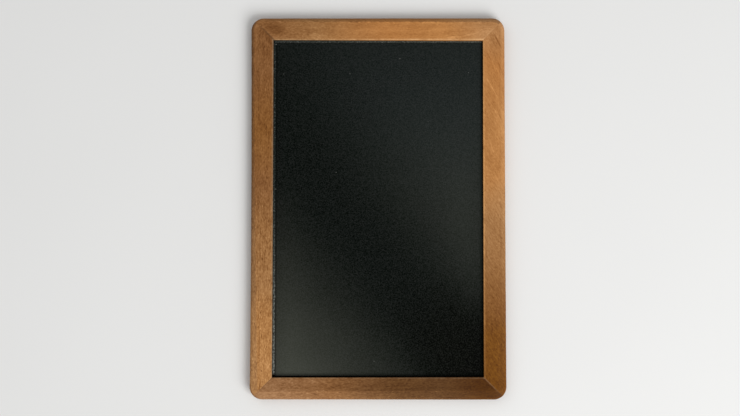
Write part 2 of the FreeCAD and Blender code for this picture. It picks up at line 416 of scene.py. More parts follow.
class Graph:
    """The nodes of one material or world."""

    near_black: Triple = (0.0005, 0.0005, 0.0005)
    noise_roughness: float = 0.55
    noise_spread: float = 4.0
    patch_thickness: float = 1000.0

    def __init__(self, owner: bpy.types.Material | bpy.types.World) -> None:
        """Clear the nodes of a material or world.

        Args:
            owner: The material or world.
        """
        owner.use_nodes = True
        self.owner = owner
        self.tree = owner.node_tree
        self.tree.nodes.clear()

    def node(
        self,
        kind: str,
        settings: Settings | None = None,
        feeds: Feeds | None = None,
    ) -> bpy.types.Node:
        """Add a node.

        Args:
            kind: Type of the node, without its ShaderNode prefix.
            settings: Its properties, which are set first; stops are those of a ramp.
            feeds: Values or links of its input sockets, by name or number.

        Returns:
            The node.
        """
        made = self.tree.nodes.new(f"ShaderNode{kind}")
        for name, value in (settings or {}).items():
            if name == "stops":
                self.set_stops(made.color_ramp, value)
            else:
                setattr(made, name, value)
        for socket, value in (feeds or {}).items():
            if isinstance(value, Shade):
                self.tree.links.new(value.socket, made.inputs[socket])
            else:
                made.inputs[socket].default_value = value
        return made

    @staticmethod
    def set_stops(ramp: bpy.types.ColorRamp, stops: Stops) -> None:
        """Give a colour ramp its places and colours.

        Args:
            ramp: The ramp.
            stops: Its places, from 0 to 1, with their colours.
        """
        while len(ramp.elements) < len(stops):
            ramp.elements.new(1.0)
        for element, (place, colour) in zip(ramp.elements, stops):
            element.position = place
            element.color = colour

    def out(self, made: bpy.types.Node, socket: str | int = 0) -> Shade:
        """An output of a node, for an expression."""
        return Shade(self, made.outputs[socket])

    def math(self, operation: str, *values: Value) -> Shade:
        """A Math node on up to three numbers."""
        return self.out(self.node("Math", {"operation": operation}, dict(enumerate(values))))

    def vector(self, operation: str, *values: Value, output: str = "Vector") -> Shade:
        """A Vector Math node on up to three vectors."""
        feeds = dict(enumerate(values))
        return self.out(self.node("VectorMath", {"operation": operation}, feeds), output)

    def scaled(self, colour: Value, factor: Value) -> Shade:
        """A colour or vector times a number."""
        return self.out(self.node("VectorMath", {"operation": "SCALE"}, {0: colour, "Scale": factor}))

    def blend(self, share: Value, base: Value, layer: Value) -> Shade:
        """The base colour, turned into the layer's colour by a share from 0 to 1."""
        feeds = {MIX_SHARE: share, MIX_BASE: base, MIX_LAYER: layer}
        return self.out(self.node("Mix", {"data_type": "RGBA"}, feeds), MIX_RESULT)

    def rise(self, value: Value, low: float, high: float) -> Shade:
        """A soft step from 0 at low to 1 at high."""
        feeds = {"Value": value, "From Min": low, "From Max": high}
        return self.out(self.node("MapRange", {"interpolation_type": "SMOOTHSTEP"}, feeds))

    def ridge(self, value: Shade, middle: float, half_width: float) -> Shade:
        """1 where the value is at the middle, and softly 0 half a width away."""
        return 1 - self.rise(abs(value - middle), 0.0, half_width)

    def lifted(self, colour: Shade, change: Shade) -> Shade:
        """A colour with the same small number added to each channel, kept above black."""
        raised = self.vector("ADD", colour, self.place_of(change, change, change))
        return self.vector("MAXIMUM", raised, self.near_black)

    def least(self, *values: Value) -> Shade:
        """Pick the smallest number.

        Args:
            *values: The numbers.

        Returns:
            The smallest.
        """
        smallest = values[0]
        for value in values[1:]:
            smallest = self.math("MINIMUM", smallest, value)
        return smallest

    def parts(self, place: Shade) -> tuple[Shade, Shade, Shade]:
        """The three numbers of a vector."""
        split = self.node("SeparateXYZ", feeds={0: place})
        return self.out(split, 0), self.out(split, 1), self.out(split, 2)

    def place_of(self, across: Value, up: Value, out: Value) -> Shade:
        """A vector made of three numbers."""
        return self.out(self.node("CombineXYZ", feeds={0: across, 1: up, 2: out}))

    def grains(
        self,
        place: Shade,
        stretch: Sequence[float],
        detail: float = 2.0,
        seed: float = 0.0,
    ) -> Shade:
        """Noise from about -1 to 1 whose grains are stretched.

        Args:
            place: Where, in mm.
            stretch: Size of one grain along each axis, in mm.
            detail: Finer layers on top of the first.
            seed: Picks another stretch of the same noise.

        Returns:
            The noise.
        """
        scale = [1 / part for part in stretch]
        shift = (seed, -seed, seed / 2)
        mapped = self.node("Mapping", feeds={"Vector": place, "Scale": scale, "Location": shift})
        feeds = {
            "Vector": self.out(mapped),
            "Scale": 1.0,
            "Detail": detail,
            "Roughness": self.noise_roughness,
        }
        speckled = self.out(self.node("TexNoise", feeds=feeds))
        return speckled * self.noise_spread - self.noise_spread / 2

    def patch(self, place: Shade, spot: "Patch") -> Shade:
        """Shape of a patch on the board.

        Args:
            place: Place on the board, in mm.
            spot: The patch.

        Returns:
            1 in its even middle, and softly 0 at its rim.
        """
        feeds = {
            "Vector": place,
            "Location": (spot.x, spot.y, 0.0),
            "Rotation": (0.0, 0.0, math.radians(spot.turn)),
            "Scale": (spot.half_long, spot.half_wide, self.patch_thickness),
        }
        inside = self.out(self.node("Mapping", {"vector_type": "TEXTURE"}, feeds))
        return 1 - self.rise(self.vector("LENGTH", inside, output="Value"), spot.core, 1.0)

    def board_place(self) -> Shade:
        """Where the surface is on the board, in mm."""
        spot = self.out(self.node("TexCoord"), "Object")
        return self.vector("MULTIPLY", spot, (1 / MM, 1 / MM, 1 / MM))

    def finish(
        self,
        colour: Value,
        roughness: Value,
        relief: Shade | None = None,
        depth: float = 0.0,
        specular: float = 0.5,
        alpha: Value = 1.0,
    ) -> bpy.types.Material:
        """Close the material with its surface shader.

        Args:
            colour: Base colour.
            roughness: Roughness.
            relief: Height of the fine relief, in mm, or None for none.
            depth: Share of the relief that shows.
            specular: Specular level, the same all over.
            alpha: How solid the surface is, from 0 to 1.

        Returns:
            The material.
        """
        feeds: dict[str | int, Value] = {
            "Base Color": colour,
            "Roughness": roughness,
            "Specular IOR Level": specular,
            "Alpha": alpha,
        }
        if relief is not None:
            bump = self.node("Bump", feeds={"Strength": depth, "Distance": MM, "Height": relief})
            feeds["Normal"] = self.out(bump)
        shader = self.node("BsdfPrincipled", feeds=feeds)
        self.node("OutputMaterial", feeds={"Surface": self.out(shader)})
        return self.owner


@dataclass(frozen=True)
class Patch:
    """A soft spot on the board's face, in mm and degrees.

    change is how much lighter or darker it is, or how much of it chalk covers, and core its even
    middle's share of the way to its rim.
    """

    x: float
    y: float
    half_long: float
    half_wide: float
    turn: float = 0.0
    change: float = 0.0
    core: float = 0.0


# Finishes


class Tone(Enum):
    """Colours of the oiled wood from pale to dark, of what has settled on its edges, and of the painted
    shade and painted highlights on them.
    """

    CREAM = linear(232, 186, 134)
    BUTTER = linear(223, 165, 103)
    GOLD = linear(190, 131, 74)
    HONEY = linear(181, 125, 71)
    SHELL = linear(179, 128, 80)
    COPPER = linear(178, 119, 64)
    SAND = linear(174, 123, 72)
    STRAW = linear(168, 121, 75)
    AMBER = linear(167, 114, 64)
    OCHRE = linear(156, 110, 65)
    FAWN = linear(142, 100, 63)
    TAN = linear(141, 96, 55)
    BRASS = linear(133, 87, 41)
    HAZEL = linear(131, 87, 48)
    CHESTNUT = linear(129, 84, 40)
    NUTMEG = linear(126, 84, 46)
    BRONZE = linear(118, 73, 21)
    UMBER = linear(110, 73, 39)
    RUSSET = linear(109, 65, 12)
    ACORN = linear(98, 64, 30)
    WALNUT = linear(91, 59, 28)
    COCOA = linear(78, 43, 5)
    CHALK = linear(150, 132, 108)
    SEAM_HIGHLIGHT = linear(150, 112, 76)
    PAINTED_SHADE = linear(46, 40, 32)
    GLUE = linear(62, 36, 14)


@dataclass(frozen=True)
class Trace:
    """How strongly, in which tone and over how many mm a line is drawn along an edge or joint."""

    share: float
    tone: Tone
    reach: float = 0.75


@dataclass(frozen=True)
class Grain:
    """Where a point lies in its frame member, in mm, and the noises of the wood there."""

    board: Shade
    along: Shade
    across: Shade
    height: Shade
    place: Shade
    depth: Shade
    bands: Shade
    streaks: Shade
    mottle: Shade
    cloud: Shade
    speckle: Shade
    flecks: Shade
    glints: Shade


class Layer(Enum):
    """The noises of a member's wood: what sets each apart from the others, and its finer layers."""

    BANDS = (0.0, 3.0)
    STREAKS = (3.0, 2.0)
    MOTTLE = (7.0, 3.0)
    CLOUD = (11.0, 2.0)
    SPECKLE = (13.0, 2.0)
    FLECKS = (17.0, 1.0)
    GLINTS = (19.0, 1.0)
    DRIFT = (23.0, 1.0)

    @property
    def seed(self) -> float:
        """What is added to the member's own seed."""
        return self.value[0]

    @property
    def detail(self) -> float:
        """How many finer layers the noise has."""
        return self.value[1]


@dataclass(frozen=True)
class Figure:
    """The noises of one plank: the sizes of their grains in mm, and how strongly they show.

    Strengths are shares of the wood's own brightness, and a cut gives the noise at which a mark
    starts and is whole. The texture says how much of the finest noises shows along the plank. The
    fibres run at a slant, in degrees, and drift by about the reach, in mm, across the face and out
    of it.
    """

    seed: float
    slant: float = 0.0
    drift_grain: Triple = (90.0, 22.0, 22.0)
    drift_reach: Pair = (1.6, 0.8)
    texture: Run = STEADY
    band_pitch: float = 3.0
    band_stretch: float = 14.0
    band_strength: float = 0.1
    streak_grain: Triple = (6.5, 0.9, 0.9)
    streak_strength: float = 0.15
    mottle_grain: Triple = (7.0, 4.0, 4.0)
    mottle_strength: float = 0.14
    cloud_grain: Triple = (45.0, 16.0, 16.0)
    cloud_strength: float = 0.1
    speckle_grain: Triple = (1.9, 1.0, 1.0)
    speckle_strength: float = 0.25
    fleck_grain: Triple = (3.4, 0.9, 0.9)
    fleck_cut: Pair = (0.35, 1.0)
    fleck_strength: float = 0.32
    glint_grain: Triple = (2.4, 1.0, 1.0)
    glint_cut: Pair = (0.4, 1.1)
    glint_strength: float = 0.36

    @property
    def band_grain(self) -> Triple:
        """Size of one band of the grain."""
        return (self.band_pitch * self.band_stretch, self.band_pitch, self.band_pitch)

    def layer(self, graph: Graph, place: Shade, stretch: Triple, layer: Layer) -> Shade:
        """One noise of the plank, from about -1 to 1, at a place in mm."""
        return graph.grains(place, stretch, layer.detail, self.seed + layer.seed)

    def fibres(self, graph: Graph, plank: Shade) -> Shade:
        """Turn and bend a place in the member so that its X follows the fibres.

        Args:
            graph: The material's nodes.
            plank: Place in the member, in mm.

        Returns:
            The place along and across the fibres, in mm.
        """
        feeds = {"Vector": plank, "Rotation": (0.0, 0.0, math.radians(self.slant))}
        turned = graph.out(graph.node("Mapping", feeds=feeds))
        drift = self.layer(graph, plank, self.drift_grain, Layer.DRIFT)
        across, out = self.drift_reach
        return graph.vector("ADD", turned, graph.place_of(0.0, drift * across, drift * out))

    def light(self, grain: Grain) -> Shade:
        """Brightness of the plank's bands, clouds and fine texture.

        Args:
            grain: The plank's noises.

        Returns:
            The brightness, about 1.
        """
        fine = grain.streaks * self.streak_strength + grain.speckle * self.speckle_strength
        fine = fine + grain.glints * self.glint_strength - grain.flecks * self.fleck_strength
        light = 1 + grain.bands * self.band_strength + grain.mottle * self.mottle_strength
        return light + grain.cloud * self.cloud_strength + fine * self.texture.at(grain.place)


@dataclass(frozen=True)
class Rim:
    """The band along a member's outer edge, bounded by a ragged line, with chalk dust, painted light
    and painted shade on it; widths in mm.

    The brink is the band's outermost part. A tone is the brightness of a part: above 1 it is painted
    light on the rounded edge, and below 1 painted shade. Dust is how much of the band chalk covers. The
    line is a painted highlight or, below 0, a painted shadow line, by its share; its base shows
    everywhere, and the rest where the wood glints.
    """

    width: Run = Run(3.6, 3.6, 3.6)
    soft: float = 1.4
    mottle: float = 0.4
    speckle: float = 0.3
    tone: Run = STEADY
    dust: Run = Run(0.0, 0.0, 0.0)
    line: float = 0.15
    line_inset: float = 0.7
    line_reach: float = 0.9
    line_base: float = 0.5
    line_glint: float = 1.5
    brink_width: float = 1.5
    brink_soft: float = 1.2
    brink_tone: Run = STEADY

    def drawn(self, graph: Graph, grain: Grain, colour: Shade) -> Shade:
        """Draw the band, its brink and its line.

        Args:
            graph: The material's nodes.
            grain: The plank's noises.
            colour: Colour of the wood.

        Returns:
            The colour with the rim.
        """
        ragged = grain.depth + grain.mottle * self.mottle + grain.speckle * self.speckle
        inside = ragged - self.width.at(grain.place)
        band = 1 - graph.rise(inside, -self.soft / 2, self.soft / 2)
        line = graph.ridge(inside, self.line_inset, self.line_reach)
        line = line * (self.line_base + grain.glints * self.line_glint)
        edge, reach = self.brink_width, self.brink_soft / 2
        brink = 1 - graph.rise(ragged, edge - reach, edge + reach)
        # The band's tone, its brink and its line are painted light and painted shade.
        light = (1 + band * (self.tone.at(grain.place) - 1)) * (1 + line * self.line)
        light = light * (1 + brink * (self.brink_tone.at(grain.place) - 1))
        dust_and_painted_light = graph.blend(band * self.dust.at(grain.place), colour, Tone.CHALK.value)
        return graph.scaled(dust_and_painted_light, light)


@dataclass(frozen=True)
class SightEdge:
    """The painted highlight along the arris of a member's sight edge, and the painted shade below it on
    the wall of the recess.

    The painted shade starts and is whole at its insets from the sight edge, and is whole and starts at
    its depths below the face, all in mm.
    """

    arris: Trace
    arris_inset: float = 0.15
    arris_run: Run = STEADY
    arris_mottle: float = 0.6
    arris_speckle: float = 0.4
    painted_shade_run: Run = Run(0.8, 0.8, 0.8)
    painted_shade_insets: Pair = (0.2, 0.02)
    painted_shade_depths: Pair = (1.1, 0.3)

    def drawn(self, graph: Graph, grain: Grain, colour: Shade, sizes: BoardSizes) -> Shade:
        """Draw the line and the grime.

        Args:
            graph: The material's nodes.
            grain: The plank's noises.
            colour: Colour of the wood.
            sizes: The board's sizes.

        Returns:
            The colour with the sight edge.
        """
        width, top = sizes.member_width, sizes.thickness
        # Painted highlight along the sight edge's arris.
        painted_highlight = graph.ridge(grain.across, self.arris_inset - width, self.arris.reach)
        painted_highlight = painted_highlight * self.arris_run.at(grain.place) * self.arris.share
        painted_highlight = painted_highlight * (1 + grain.mottle * self.arris_mottle + grain.speckle * self.arris_speckle)
        colour = graph.blend(painted_highlight, colour, self.arris.tone.value)
        # Painted shade on the sight edge's wall, down in the recess.
        inner = graph.rise(-grain.across, *(width - inset for inset in self.painted_shade_insets))
        painted_shade = inner * (1 - graph.rise(grain.height, *(top - depth for depth in self.painted_shade_depths)))
        return graph.blend(painted_shade * self.painted_shade_run.at(grain.place), colour, Tone.PAINTED_SHADE.value)


@dataclass(frozen=True)
class Seams:
    """The lines of the mitres at a member's left and right ends: a pale line is a painted highlight on
    the joint's edge.

    A line is whole over its core, in mm, and fades towards the outer corner: it starts at a depth in
    mm, and is full at a share of the member's width. Its base shows all along it.
    """

    left: Trace
    right: Trace
    core: float = 0.1
    base: float = 0.85
    speckle: float = 0.4
    start: float = 4.0
    full: float = 0.65

    def drawn(self, graph: Graph, grain: Grain, colour: Shade, half_span: float, width: float) -> Shade:
        """Draw both lines.

        Args:
            graph: The material's nodes.
            grain: The plank's noises.
            colour: Colour of the wood.
            half_span: Half of the member's length.
            width: The member's width.

        Returns:
            The colour with the seams.
        """
        for end, seam in ((-1, self.left), (1, self.right)):
            gap = (half_span + grain.across - grain.along * end) * math.cos(EIGHTH)
            near = 1 - graph.rise(gap, self.core, seam.reach)
            line = near * graph.rise(-grain.across, self.start, self.full * width)
            line = line * (self.base + grain.speckle * self.speckle) * seam.share
            # A pale seam line is a painted highlight.
            colour = graph.blend(line, colour, seam.tone.value)
        return colour


@dataclass(frozen=True)
class Sheen:
    """Gloss and fine relief of the oiled wood: roughness from 0 to 1, and heights in mm."""

    roughness: float = 0.52
    streak_roughness: float = 0.03
    fleck_roughness: float = 0.1
    end_roughness: float = 0.15
    streak_height: float = 0.02
    speckle_height: float = 0.01
    fleck_depth: float = 0.05
    relief_share: float = 0.5
    specular: float = 0.1

    def close(self, graph: Graph, grain: Grain, end_wood: Shade, colour: Shade) -> bpy.types.Material:
        """Close the wood's material.

        Args:
            graph: The material's nodes.
            grain: The plank's noises.
            end_wood: How far the surface cuts across the fibres.
            colour: Colour of the wood.

        Returns:
            The material.
        """
        roughness = self.roughness + grain.streaks * self.streak_roughness
        roughness = roughness + grain.flecks * self.fleck_roughness + end_wood * self.end_roughness
        relief = grain.streaks * self.streak_height + grain.speckle * self.speckle_height
        relief = relief - grain.flecks * self.fleck_depth
        return graph.finish(colour, roughness, relief, self.relief_share, self.specular)


@dataclass(frozen=True)
class WoodFinish:
    """Oiled hardwood of one frame member, its tones set at shares of the way along it.

    Where the wood is darker it is redder too, by the powers of its green and blue. Losses are shares
    of its brightness. Towards the board's lower right and upper left the tones are darker partly as
    painted shade.
    """

    side: Side
    sizes: BoardSizes
    tones: tuple[tuple[float, Tone], ...]
    figure: Figure
    seams: Seams
    sight_edge: SightEdge
    rim: Rim
    sheen: Sheen = Sheen()
    tone_drift: float = 0.02
    darkest: float = 0.2
    green_power: float = 1.3
    blue_power: float = 1.8
    end_loss: float = 0.25
    patch_mottle: float = 0.6
    patches: tuple[Patch, ...] = ()

    @property
    def half_span(self) -> float:
        """Half of the member's length."""
        return self.sizes.span(self.side) / 2

    def make(self) -> bpy.types.Material:
        """Build the wood's material.

        Returns:
            The material.
        """
        graph = Graph(bpy.data.materials.new(f"{self.side.node}_wood"))
        grain = self.grain(graph)
        end_wood = self.end_wood(graph)
        light = self.light(graph, grain) * (1 - end_wood * self.end_loss)
        # The tones darken towards the board's lower right and upper left partly as painted shade.
        share = to_share(grain.place) + grain.cloud * self.tone_drift
        ramp = graph.node("ValToRGB", {"stops": self.stops()}, {0: share})
        colour = self.tinted(graph, graph.out(ramp), light)
        # The rim, the sight edge and the seams add painted light, painted highlights and painted shade.
        colour = self.rim.drawn(graph, grain, colour)
        colour = self.sight_edge.drawn(graph, grain, colour, self.sizes)
        colour = self.seams.drawn(graph, grain, colour, self.half_span, self.sizes.member_width)
        return self.sheen.close(graph, grain, end_wood, colour)

    def grain(self, graph: Graph) -> Grain:
        """Work out the place in the member and the noises of its wood.

        Args:
            graph: The material's nodes.

        Returns:
            The place and the noises.
        """
        figure = self.figure
        board = graph.board_place()
        plank = self.plank_place(graph, board)
        along, across, height = graph.parts(plank)
        fibres = figure.fibres(graph, plank)
        flecks = figure.layer(graph, fibres, figure.fleck_grain, Layer.FLECKS)
        glints = figure.layer(graph, fibres, figure.glint_grain, Layer.GLINTS)
        return Grain(
            board=board,
            along=along,
            across=across,
            height=height,
            place=along / self.half_span,
            depth=self.edge_depth(graph, along, across),
            bands=figure.layer(graph, fibres, figure.band_grain, Layer.BANDS),
            streaks=figure.layer(graph, fibres, figure.streak_grain, Layer.STREAKS),
            mottle=figure.layer(graph, plank, figure.mottle_grain, Layer.MOTTLE),
            cloud=figure.layer(graph, plank, figure.cloud_grain, Layer.CLOUD),
            speckle=figure.layer(graph, fibres, figure.speckle_grain, Layer.SPECKLE),
            flecks=graph.rise(flecks, *figure.fleck_cut),
            glints=graph.rise(glints, *figure.glint_cut),
        )

    def light(self, graph: Graph, grain: Grain) -> Shade:
        """Brightness of the wood with its patches.

        Args:
            graph: The material's nodes.
            grain: The plank's noises.

        Returns:
            The brightness, about 1.
        """
        light = self.figure.light(grain)
        for spot in self.patches:
            uneven = graph.patch(grain.board, spot) * (1 + grain.mottle * self.patch_mottle)
            light = light * (1 + uneven * spot.change)
        return light

    def tinted(self, graph: Graph, tone: Shade, light: Shade) -> Shade:
        """Make the tone lighter or darker, and redder where it is darker.

        Args:
            graph: The material's nodes.
            tone: The wood's tone.
            light: Its brightness.

        Returns:
            The colour.
        """
        kept = graph.math("MAXIMUM", light, self.darkest)
        tint = graph.place_of(kept, kept**self.green_power, kept**self.blue_power)
        return graph.vector("MULTIPLY", tone, tint)

    def stops(self) -> Stops:
        """The member's tones as stops of a ramp."""
        return [(place, tone.value) for place, tone in self.tones]

    def plank_place(self, graph: Graph, board: Shade) -> Shade:
        """Turn a place on the board to the member's own.

        Args:
            graph: The material's nodes.
            board: Place on the board, in mm.

        Returns:
            The place in mm: +X along the member, and its outer edge at Y 0.
        """
        feeds = {
            "Vector": board,
            "Rotation": (0.0, 0.0, -self.side.turn),
            "Location": (0.0, -self.sizes.reach(self.side), 0.0),
        }
        return graph.out(graph.node("Mapping", feeds=feeds))

    def edge_depth(self, graph: Graph, along: Shade, across: Shade) -> Shade:
        """Distance in from the rounded outline.

        Args:
            graph: The material's nodes.
            along: Place along the member, in mm.
            across: Place across it, in mm, 0 at its outer edge and less inside.

        Returns:
            The distance in mm.
        """
        radius = self.sizes.corner_radius
        past = graph.math("MAXIMUM", abs(along) - (self.half_span - radius), 0.0)
        above = graph.math("MAXIMUM", across + radius, 0.0)
        below = graph.math("MINIMUM", across + radius, 0.0)
        return radius - (past * past + above * above) ** 0.5 - below

    def end_wood(self, graph: Graph) -> Shade:
        """How far the surface cuts across the fibres.

        Args:
            graph: The material's nodes.

        Returns:
            From 0 on a face along the member to 1 on its end.
        """
        facing = graph.out(graph.node("TexCoord"), "Normal")
        axis = (math.cos(self.side.turn), math.sin(self.side.turn), 0.0)
        return graph.vector("DOT_PRODUCT", facing, axis, output="Value") ** 2


@dataclass(frozen=True)
class KeyFinish:
    """Plain paler hardwood of the mitre keys, its fibres square to the mitre."""

    corner: Corner
    band_grain: Triple = (50.0, 1.6, 1.6)
    band_height: float = 0.02
    pore_grain: Triple = (2.5, 0.4, 0.4)
    pore_cut: Pair = (0.5, 1.0)
    pore_loss: float = 0.2
    pore_roughness: float = 0.1
    roughness: float = 0.6
    relief_share: float = 0.4
    specular: float = 0.1
    pale: Colour = linear(158, 112, 68)
    dark: Colour = linear(128, 86, 48)

    def make(self) -> bpy.types.Material:
        """Build the key's material.

        Returns:
            The material.
        """
        graph = Graph(bpy.data.materials.new(f"{self.corner.node}_wood"))
        board = graph.board_place()
        feeds = {"Vector": board, "Rotation": (0.0, 0.0, EIGHTH - self.corner.turn)}
        place = graph.out(graph.node("Mapping", feeds=feeds))
        bands = graph.grains(place, self.band_grain, detail=3.0, seed=5.0)
        pores = graph.rise(graph.grains(place, self.pore_grain, detail=1.0, seed=9.0), *self.pore_cut)
        tone = graph.blend(to_share(bands), self.pale, self.dark)
        colour = graph.scaled(tone, 1 - pores * self.pore_loss)
        roughness = self.roughness + pores * self.pore_roughness
        relief = bands * self.band_height
        return graph.finish(colour, roughness, relief, self.relief_share, self.specular)


@dataclass(frozen=True)
class FieldEdge:
    """One edge of the slate's raised field and the painted shadow line beside it, in mm.

    The edge lies at middle + slope times the way along it. The line lies line_depth inside it.
    """

    side: Side
    middle: float
    slope: float
    line_depth: float
    line_reach: float
    line_share: float

    def at(self, along: "float | Shade") -> "float | Shade":
        """Where the edge lies at a place along it."""
        return along * self.slope + self.middle

    def depth(self, across: Shade, up: Shade) -> Shade:
        """Distance in from the edge.

        Args:
            across: Place across the board, in mm.
            up: Place up its length, in mm.

        Returns:
            The distance in mm, less than 0 on the margin.
        """
        if self.side in (Side.LEFT, Side.RIGHT):
            gap = across - self.at(up)
        else:
            gap = up - self.at(across)
        return gap if self.side in (Side.LEFT, Side.BOTTOM) else -gap


class SlateTone(Enum):
    """Colours of the slate's field, of the dust and painted reflections on it, of the painted shade on
    it and of its ground margin.
    """

    PLAIN = linear(17, 20.5, 18)
    CLEAN_AND_SHADED = linear(9, 11, 6.5)
    LOW_DUST_AND_REFLECTION = linear(88, 90, 81)
    COOL_DUST_AND_REFLECTION = linear(46, 51, 50)
    WARM_DUST_AND_REFLECTION = linear(51, 54, 49)
    CHALK = linear(150, 152, 146)
    LEFT_MARGIN_TOP = linear(36, 41, 38)
    LEFT_MARGIN_FOOT = linear(96, 98, 92)
    TOP_MARGIN = linear(60, 64, 60)
    PAINTED_SHADE = linear(3, 4, 3)


@dataclass(frozen=True)
class MarginFinish:
    """The slate's ground margin: chalky on the left and at the top, painted dark as shade on the other
    sides.

    Each fade gives the places or distances in mm at which something starts and is whole, and a cut
    does so for the noise of a mark.
    """

    chip_grain: Triple = (0.8, 1.3, 0.8)
    chip_cut: Pair = (0.2, 0.8)
    chip_share: float = 0.25
    chip_low_share: float = 0.4
    shade_grain: Triple = (1.5, 1.7, 1.5)
    shade_strength: float = 0.6
    brightness: float = 0.97
    darkest: float = 0.12
    low_fade: Pair = (0.0, 90.0)
    left_fade: Pair = (-20.0, 128.0)
    edge_fade: Pair = (0.0, 0.2)
    top_fade: Pair = (-85.0, 85.0)
    top_light: float = 0.75
    top_gain: float = 0.6
    under_wood_fade: Pair = (1.1, 2.1)
    under_wood_shade: float = 0.6
    foot_fade: Pair = (-130.6, -129.0)

    def colour(self, graph: Graph, board: Shade, depths: Mapping[Side, Shade]) -> Shade:
        """Colour of the margin.

        Args:
            graph: The material's nodes.
            board: Place on the board, in mm.
            depths: Distance in from each edge of the field.

        Returns:
            The colour.
        """
        painted_shade = SlateTone.PAINTED_SHADE.value
        across, up, _ = graph.parts(board)
        chips = graph.rise(graph.grains(board, self.chip_grain, detail=1.0, seed=14.0), *self.chip_cut)
        shade = graph.grains(board, self.shade_grain, detail=2.0, seed=17.0)
        low = graph.rise(-up, *self.low_fade)
        foot = graph.rise(-up, *self.left_fade)
        left = graph.blend(foot, SlateTone.LEFT_MARGIN_TOP.value, SlateTone.LEFT_MARGIN_FOOT.value)
        top_light = self.top_light + graph.rise(across, *self.top_fade) * self.top_gain
        beside = graph.rise(-depths[Side.LEFT], *self.edge_fade)
        over = graph.rise(-depths[Side.TOP], *self.edge_fade)
        # The right and bottom margins are painted shade.
        colour = graph.blend(over, painted_shade, graph.scaled(SlateTone.TOP_MARGIN.value[:3], top_light))
        colour = graph.blend(beside, colour, left)
        light = self.brightness + shade * self.shade_strength * (1 + low)
        colour = graph.scaled(colour, graph.math("MAXIMUM", light, self.darkest))
        chalky = chips * graph.math("MAXIMUM", beside, over)
        chalky = chalky * (self.chip_share + low * self.chip_low_share)
        colour = graph.blend(chalky, colour, SlateTone.CHALK.value)
        # Painted shadow beside the left stile, and painted shade over the margin's foot.
        under_wood = graph.rise(-depths[Side.LEFT], *self.under_wood_fade) * low
        colour = graph.blend(under_wood * self.under_wood_shade, colour, painted_shade)
        return graph.blend(graph.rise(up, *self.foot_fade), painted_shade, colour)


